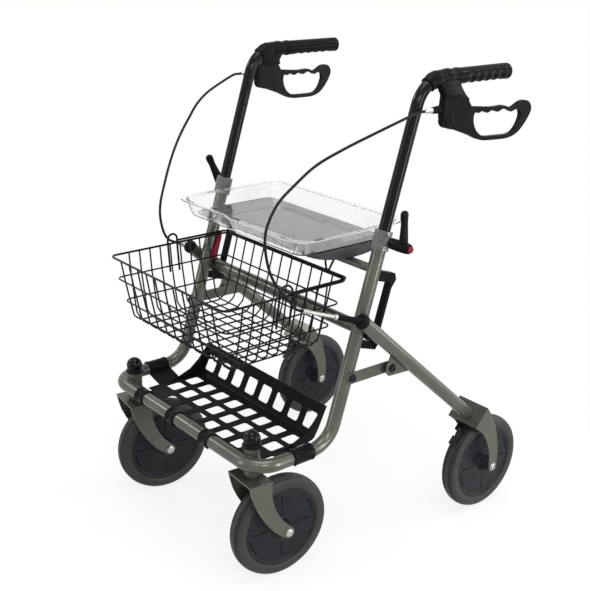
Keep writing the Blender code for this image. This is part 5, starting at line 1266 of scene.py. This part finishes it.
def holed_cell(x_low, x_high, low, high, hole_middle, hole_half):
    """Quads between a cell's edge and its hole, a rectangle with corners of radius HOLE_CORNER.

    Each point of the edge, written as a share of the half sides, has a partner on the hole: along
    the middle of a side it keeps its share of the straight part, and near a corner it runs along
    the arc, at the straight part's end + corner * (cos a, sin a), a up to 45 degrees."""
    ahead = np.linspace(0, 1, PER_SIDE, endpoint=False) * 2 - 1
    one = np.ones(PER_SIDE)
    square = np.vstack([np.column_stack(pair) for pair in (
        (ahead, -one), (one, ahead), (-ahead, one), (-one, -ahead))])
    middle = np.array([(x_low + x_high) / 2, (low + high) / 2])
    outer = middle + square * [(x_high - x_low) / 2, (high - low) / 2]
    share = np.abs(square)
    x_leads = share[:, 0] > share[:, 1]
    leads = np.column_stack([x_leads, ~x_leads])
    past = np.clip((share.min(axis=1) - 1 + CORNER_SHARE) / CORNER_SHARE, 0, 1)[:, None]
    lean = past * math.radians(45)
    straight = np.array([HOLE_HALF_WIDTH, hole_half]) - HOLE_CORNER
    reach = np.where(leads, straight + HOLE_CORNER * np.cos(lean),
                     straight * np.clip(share / (1 - CORNER_SHARE), 0, 1)
                     + HOLE_CORNER * np.sin(lean))
    inner = np.sign(square) * reach + [middle[0], hole_middle]
    following = np.roll(np.arange(len(outer)), -1)
    return np.stack([outer, outer[following], inner[following], inner], 1)


print("a plain cell has", len(plain_cell(0, 1, 0, 1)), "quads and a holed one", 4 * PER_SIDE)

# %% The sheet: rows of cells, with plain strips along both sides
HALF_SHEET = 0.188
holes_x = [HOLE_PITCH * (index - 3.5) for index in range(8)]
front_edge, row_1, row_2 = run_at(y=-0.288), run_at(y=-0.2445), run_at(y=-0.2005)
floor_end, wall_start, wall_end = run_at(y=-0.1578), run_at(z=0.2440), run_at(z=0.2850)
rows = [(0.0, front_edge, None), (front_edge, row_1, (run_at(y=-0.266), 0.0148)),
        (row_1, row_2, (run_at(y=-0.223), 0.0166)),
        (row_2, floor_end, (run_at(y=-0.179), 0.0164)), (floor_end, wall_start, None),
        (wall_start, wall_end, ((wall_start + wall_end) / 2, 0.0166)),
        (wall_end, run[-1], None)]
quads = []
for low, high, hole in rows:
    for x in holes_x:
        ends = (x - HOLE_PITCH / 2, x + HOLE_PITCH / 2, low, high)
        at_corner = abs(x) > 0.15 and low < row_1 - 0.001
        quads.append(plain_cell(*ends) if hole is None or at_corner else holed_cell(*ends, *hole))
    for sign in (1, -1):
        quads.append(plain_cell(*sorted((sign * HOLE_PITCH * 4, sign * HALF_SHEET)), low, high))
quads = np.concatenate(quads)
middles = quads.mean(axis=1)
in_corner = (np.abs(middles[:, 0]) > 0.1726) & (middles[:, 1] < run_at(y=-0.2735))
quads = quads[~in_corner]
sheet_mesh = bpy.data.meshes.new("shelf_sheet")
sheet_mesh.from_pydata((laid_on(quads.reshape(-1, 2)) + shift).tolist(), [],
                       np.arange(len(quads) * 4).reshape(-1, 4).tolist())
sheet = finished_object("shelf_sheet", sheet_mesh, 40)
thicken(sheet, 0.0030, 0.0006, 2)
dress(sheet, black_nylon, "shelf")
print("shelf sheet:", len(sheet.data.polygons), "faces")


# %% Clips: a C round the tube, thicker along both of its rims
def clip_rings(middle, axis, side, width, start, end):
    """Cross-sections of the C: middle + across * axis + outer * (cos a * side + sin a * up)."""
    across = np.array([-1, -1, -0.86, -0.74, 0.74, 0.86, 1, 1]) * width / 2
    outer = TUBE / 2 + np.array([0.0003, 0.0030, 0.0031, 0.0023, 0.0023, 0.0031, 0.0030, 0.0003])
    axis, side = np.array(axis, float), np.array(side, float)
    angle = np.radians(np.linspace(start, end, 40))[:, None, None]
    away = np.cos(angle) * side + np.sin(angle) * np.cross(axis, side)
    return np.array(middle) + across[:, None] * axis + outer[:, None] * away


def wedge(outline, start, step):
    """A straight bar whose end is the outline, from a start by a step."""
    outline = np.array(outline, float)
    return np.array([outline + start, outline + start + step])


# The web joins a front clip to the sheet, the flap reaches from a side clip down to the sheet, and
# the gusset stiffens each end of the back wall.
web = [(0, 0.0142, -0.0040), (0, 0.0200, -0.0040), (0, 0.0200, 0.0030), (0, 0.0142, 0.0030)]
flap = [(0.1840, 0, 0.2354), (0.1840, 0, 0.2376), (0.2258, 0, 0.2495), (0.2258, 0, 0.2455)]
gusset = [(-0.236, 0.2372), (-0.160, 0.2372), (-0.148, 0.2410), (-0.138, 0.2560), (-0.118, 0.2980),
          (-0.126, 0.2975), (-0.136, 0.2860), (-0.150, 0.2700), (-0.172, 0.2530), (-0.200, 0.2430)]
clip_grids = []
for x in (-0.130, -0.019, 0.092):
    clip_grids.append(clip_rings((x, CROSSBAR_Y, DECK_Z), (-1, 0, 0), (0, 1, 0), 0.024, -240, 15))
    clip_grids.append(wedge(web, (x - 0.011, CROSSBAR_Y, DECK_Z), (0.022, 0, 0)))
for sign in (1, -1):
    clip_grids.append(clip_rings((sign * UPRIGHT_X, -0.2225, DECK_Z), (0, -sign, 0), (sign, 0, 0),
                                 0.045, -50, 205))
    clip_grids.append(slab(gusset, *sorted((sign * 0.1855, sign * 0.1885)), 0.0006))
    clip_grids.append(wedge(np.array(flap) * [sign, 1, 1], (0, -0.248, 0), (0, 0.051, 0)))
clips = piece_from("shelf_clips", on_side(1, *clip_grids))
dress(clips, black_nylon, body=body_of["shelf"])
print("clips:", len(clips.data.polygons), "faces")

# %% [markdown]
# ## Clamps, latch, links and rails
#
# The small parts that fold and set the walker are smoke grey collars round the tops of the
# uprights, painted link bars, the red latch on the right upright, and the nylon rails and bushes
# that the cross tube slides on. Their solids have the right form, so they are softened copies.

# %% Collars, rails, bushes, links and the latch
for side in ("left", "right"):
    soften("clamp_collar_" + side, "clamp_sleeve_" + side, smoked_plastic, 0.0010, 3, 30)
    soften("guide_rail_" + side, "sliding_rail_" + side, black_nylon, 0.0009, 3, 40)
    soften("slide_bush_" + side, "sliding_bush_" + side, black_nylon, 0.0002, 2, 50)
    soften("link_" + side, "link_bar_" + side, powder_coat, 0.0007, 3, 40)
soften("latch_lever", "latch_paddle", red_nylon, 0.0008, 3, 40)

# %% [markdown]
# ### Clamp knobs
#
# Each collar is drawn tight by a black knob: a barrel on the screw, and an arm with a waist that
# a hand turns. A small red button closes the end of the barrel. Barrel and button are turned; the
# arm is a stack of ovals whose width and depth follow its height, and it is rounded off at its tip.
# They are drawn for an upright tube and then posed: the right one is turned round its own tube.

# %% Profiles of the barrel and the button
KNOB_X = 0.262                  # where the barrel's face lies, outside the collar
KNOB_MIDDLE = KNOB_X - UPRIGHT_X                # the same, from the upright's middle line
KNOB_LENGTH = 0.048
barrel_profile = [(UPRIGHT_X + TUBE / 2 + 0.0023 - KNOB_X, 0.0030), (-0.0002, 0.0030),
                  (0, 0.0084), (0.0010, 0.0092), (0.0040, 0.0101), (0.024, 0.0104),
                  (0.038, 0.0100), (0.045, 0.0090), (KNOB_LENGTH, 0.0072)]
button_profile = [(0.0462, 0.0060), (0.0496, 0.0060), (0.0506, 0.0054), (0.0510, 0.0030)]
knob_barrel = turned(barrel_profile, (KNOB_MIDDLE, 0, 0), (1, 0, 0), 40)
knob_button = turned(button_profile, (KNOB_MIDDLE, 0, 0), (1, 0, 0), 36)
print("knob is", KNOB_LENGTH * 1000, "mm long")


# %% The arm with a waist, and both knobs in their poses
def arm_rings(rows=40, columns=32):
    """Ovals (depth * cos a, width * sin a) at each height; both shrink as a quarter ellipse at
    the tip, and the upper half leans in by about a millimetre."""
    rise = np.linspace(0, 0.0655, rows)[:, None]
    angle = np.linspace(0, math.tau, columns, endpoint=False)
    top = np.sqrt(np.clip(1 - (np.clip(rise - 0.0580, 0, 1) / 0.0076) ** 2, 0.01, 1))
    width = top * np.interp(rise, [0, 0.012, 0.042, 0.056], [0.0105, 0.0096, 0.0070, 0.0080])
    depth = top * np.interp(rise, [0, 0.042, 0.056], [0.0062, 0.0052, 0.0062])
    lean_in = -0.0012 * smooth_step(rise, 0.036, 0.056)
    return np.stack([KNOB_MIDDLE + 0.0308 + lean_in + depth * np.cos(angle),
                     width * np.sin(angle), np.broadcast_to(rise, (rows, columns))], -1)


arm = arm_rings()
clamp_middle = on_upright(CLAMP_ALONG) * [0, 1, 1]
for side, sign, turn, lean in (("left", 1, 0, 0), ("right", -1, -30, 21)):
    pose = np.array(Matrix.Rotation(math.radians(turn), 3, Vector(lean_way))
                    @ Matrix.Rotation(math.radians(lean), 3, "X"))
    place = clamp_middle + [sign * UPRIGHT_X, 0, 0] + shift
    for name, grids, material, node in (
            ("clamp_knob_", (knob_barrel, arm), black_nylon, "clamp_lever_"),
            ("clamp_button_", (knob_button,), red_nylon, "clamp_cap_")):
        posed = [(grid * [sign, 1, 1]) @ pose.T + place for grid in grids]
        dress(piece_from(name + side, posed, sharp=40), material, node + side)
    print(side, "knob is turned by", turn, "and leans by", lean, "degrees")

# %% [markdown]
# ## Leg caps, cable boots and adjusters
#
# The upper end of each rear leg is closed by a nylon cap, from which a soft boot reaches towards
# the cable. Out of the boot comes the metal adjuster, a threaded barrel with a knurled nut.

# %% Caps with ribbed boots, and the adjusters
BOOT_LENGTH = 0.050
RIB_STEP = 0.0040
cap_end = on_leg(-LEG_FRONT - GAP)
share = np.linspace(0, 1, 14)
cap_radius = np.append(0.0141 * np.sqrt(np.clip(1 - (share * 0.72) ** 4, 0, 1)), 0.0035)
cap_run = np.append(share * 0.0092, 0.0096)
cap = tube(cap_end - np.outer(cap_run, leg_down), cap_radius, 36)
reach = np.linspace(0, BOOT_LENGTH, 120)
narrowing = np.interp(reach, [0, BOOT_LENGTH / 2, BOOT_LENGTH], [0.0072, 0.0057, 0.0047])
ribs = 0.00045 * np.cos(math.tau * reach / RIB_STEP) * smooth_step(reach, 0.010, 0.014)
barrel_radii = [0.0054, 0.0054, 0.0050, 0.0034, 0.0034, 0.0042, 0.0045, 0.0042, 0.0036]
for side, sign in SIDES:
    tip, line = boot_lines[side]
    boot = tube(boot_root + np.outer(reach, line), narrowing + ribs, 28)
    dress(piece_from("leg_cap_boot_" + side, on_side(sign, cap, boot), sharp=50), black_nylon,
          "leg_cap_" + side)
    start = boot_root + line * (BOOT_LENGTH + GAP)
    total = float(np.linalg.norm(tip - start))
    runs = np.array([0, 0.0037, 0.0042, 0.0045, total - 0.0142, total - 0.0138, total - 0.0135,
                     total - 0.0006, total])
    barrel = tube(start + np.outer(runs, line), barrel_radii, 24)
    dress(piece_from("cable_barrel_" + side, on_side(sign, barrel)), zinc_plate,
          "cable_adjuster_" + side)
    print(side, "adjuster is", round(total * 1000, 1), "mm long")

# %% [markdown]
# ## Floor, light and background
#
# The walker stands on a plain white floor, as in the photograph. Close to it the floor is a
# matt surface that takes its soft shadow. Further out, what the camera sees of the floor fades
# into the white of the background, so that no horizon shows. That white is only for what looks
# straight at it, through the tray or in a mirror-like part: it puts no light on the walker.

# %% Floor that fades into the background
FADE_START = 0.40               # metres from the walker's middle
FADE_END = 0.85
NEAR_SHARE = 0.8                # of the white, for what looks at the floor close by
half = 8                        # half of the floor's side, in metres
floor_mesh = bpy.data.meshes.new("floor")
floor_mesh.from_pydata([(-half, -half, 0), (half, -half, 0), (half, half, 0), (-half, half, 0)],
                       [], [(0, 1, 2, 3)])
floor = bpy.data.objects.new("floor", floor_mesh)
bpy.context.scene.collection.objects.link(floor)
floor_paint = bpy.data.materials.new("matt_white_floor")
floor_paint.use_nodes = True
floor_mesh.materials.append(floor_paint)


def white_where_looked_at(material_or_world, near, fade=None):
    """Mix in white of strength 1 for camera, glossy and transmission rays, times the fade."""
    rays = add(material_or_world, "ShaderNodeLightPath").outputs
    seen = add(material_or_world, "ShaderNodeMath",
               {0: rays["Is Camera Ray"], 1: rays["Is Glossy Ray"]}, operation="MAXIMUM")
    seen_or_sent = add(material_or_world, "ShaderNodeMath",
                       {0: seen.outputs[0], 1: rays["Is Transmission Ray"]}, operation="MAXIMUM")
    share = seen_or_sent.outputs[0]
    if fade is not None:
        share = add(material_or_world, "ShaderNodeMath", {0: share, 1: fade},
                    operation="MULTIPLY").outputs[0]
    mix = add(material_or_world, "ShaderNodeMixShader", {"Fac": share})
    material_or_world.node_tree.links.new(near, mix.inputs[1])
    return mix


nodes_of_floor = floor_paint.node_tree.nodes
nodes_of_floor.remove(nodes_of_floor["Principled BSDF"])
matt = add(floor_paint, "ShaderNodeBsdfDiffuse", {"Color": linear("F4F4F3")})
white = add(floor_paint, "ShaderNodeEmission", {"Color": (1, 1, 1, 1), "Strength": 1.0})
place = add(floor_paint, "ShaderNodeTexCoord")
distance = add(floor_paint, "ShaderNodeVectorMath", {0: place.outputs["Object"]},
               operation="LENGTH")
fade = add(floor_paint, "ShaderNodeMapRange",
           {"Value": distance.outputs["Value"], "From Min": FADE_START, "From Max": FADE_END,
            "To Min": NEAR_SHARE}, interpolation_type="SMOOTHSTEP")
mix = white_where_looked_at(floor_paint, matt.outputs[0], fade.outputs["Result"])
floor_paint.node_tree.links.new(white.outputs[0], mix.inputs[2])
floor_paint.node_tree.links.new(mix.outputs[0], nodes_of_floor["Material Output"].inputs["Surface"])
print("floor:", len(nodes_of_floor), "nodes")

# %% World: soft fill for the walker, white for the eye
FILL = 0.45
world = bpy.data.worlds.new("studio")
bpy.context.scene.world = world
world.use_nodes = True
world.node_tree.nodes.clear()
fill = add(world, "ShaderNodeBackground", {"Color": (1, 1, 1, 1), "Strength": FILL})
bright = add(world, "ShaderNodeBackground", {"Color": (1, 1, 1, 1), "Strength": 1.0})
mix = white_where_looked_at(world, fill.outputs[0])
world.node_tree.links.new(bright.outputs[0], mix.inputs[2])
output = add(world, "ShaderNodeOutputWorld")
world.node_tree.links.new(mix.outputs[0], output.inputs["Surface"])
print("world:", len(world.node_tree.nodes), "nodes")


# %% Soft boxes
def soft_box(name, place, aim, width, height, watts):
    """A rectangular lamp that looks at a point."""
    lamp_data = bpy.data.lights.new(name, "AREA")
    lamp_data.shape = "RECTANGLE"
    lamp_data.size = width
    lamp_data.size_y = height
    lamp_data.energy = watts
    lamp = bpy.data.objects.new(name, lamp_data)
    away = Vector(aim) - Vector(place)
    lamp.matrix_world = (Matrix.Translation(place)
                         @ away.to_track_quat("-Z", "Y").to_matrix().to_4x4())
    bpy.context.scene.collection.objects.link(lamp)


aim = (0, 0, 0.4)
soft_box("overhead", (0.2, -0.2, 2.6), aim, 1.4, 1.4, 28)
soft_box("key", (2.2, -1.2, 2.0), aim, 0.7, 0.7, 20)
soft_box("front_strip", (-0.9, -2.6, 0.9), (0, 0, 0.6), 0.2, 1.8, 14)
soft_box("back_strip", (1.4, 2.3, 0.7), (0.27, 0.25, 0.3), 0.9, 1.0, 16)
soft_box("back_high", (1.0, 1.8, 2.3), aim, 0.5, 0.5, 10)
soft_box("left_high", (-2.0, -1.0, 1.9), aim, 0.5, 0.5, 10)
soft_box("glint", (1.5, -2.3, 2.6), aim, 0.3, 0.3, 8)
soft_box("strip", (2.4, 0.6, 0.7), (0.2, 0, 0.6), 0.2, 1.4, 26)
print("lamps:", [lamp.name for lamp in bpy.data.lights])

# %% Standard view
bpy.context.scene.view_settings.view_transform = "Standard"
bpy.context.view_layer.update()
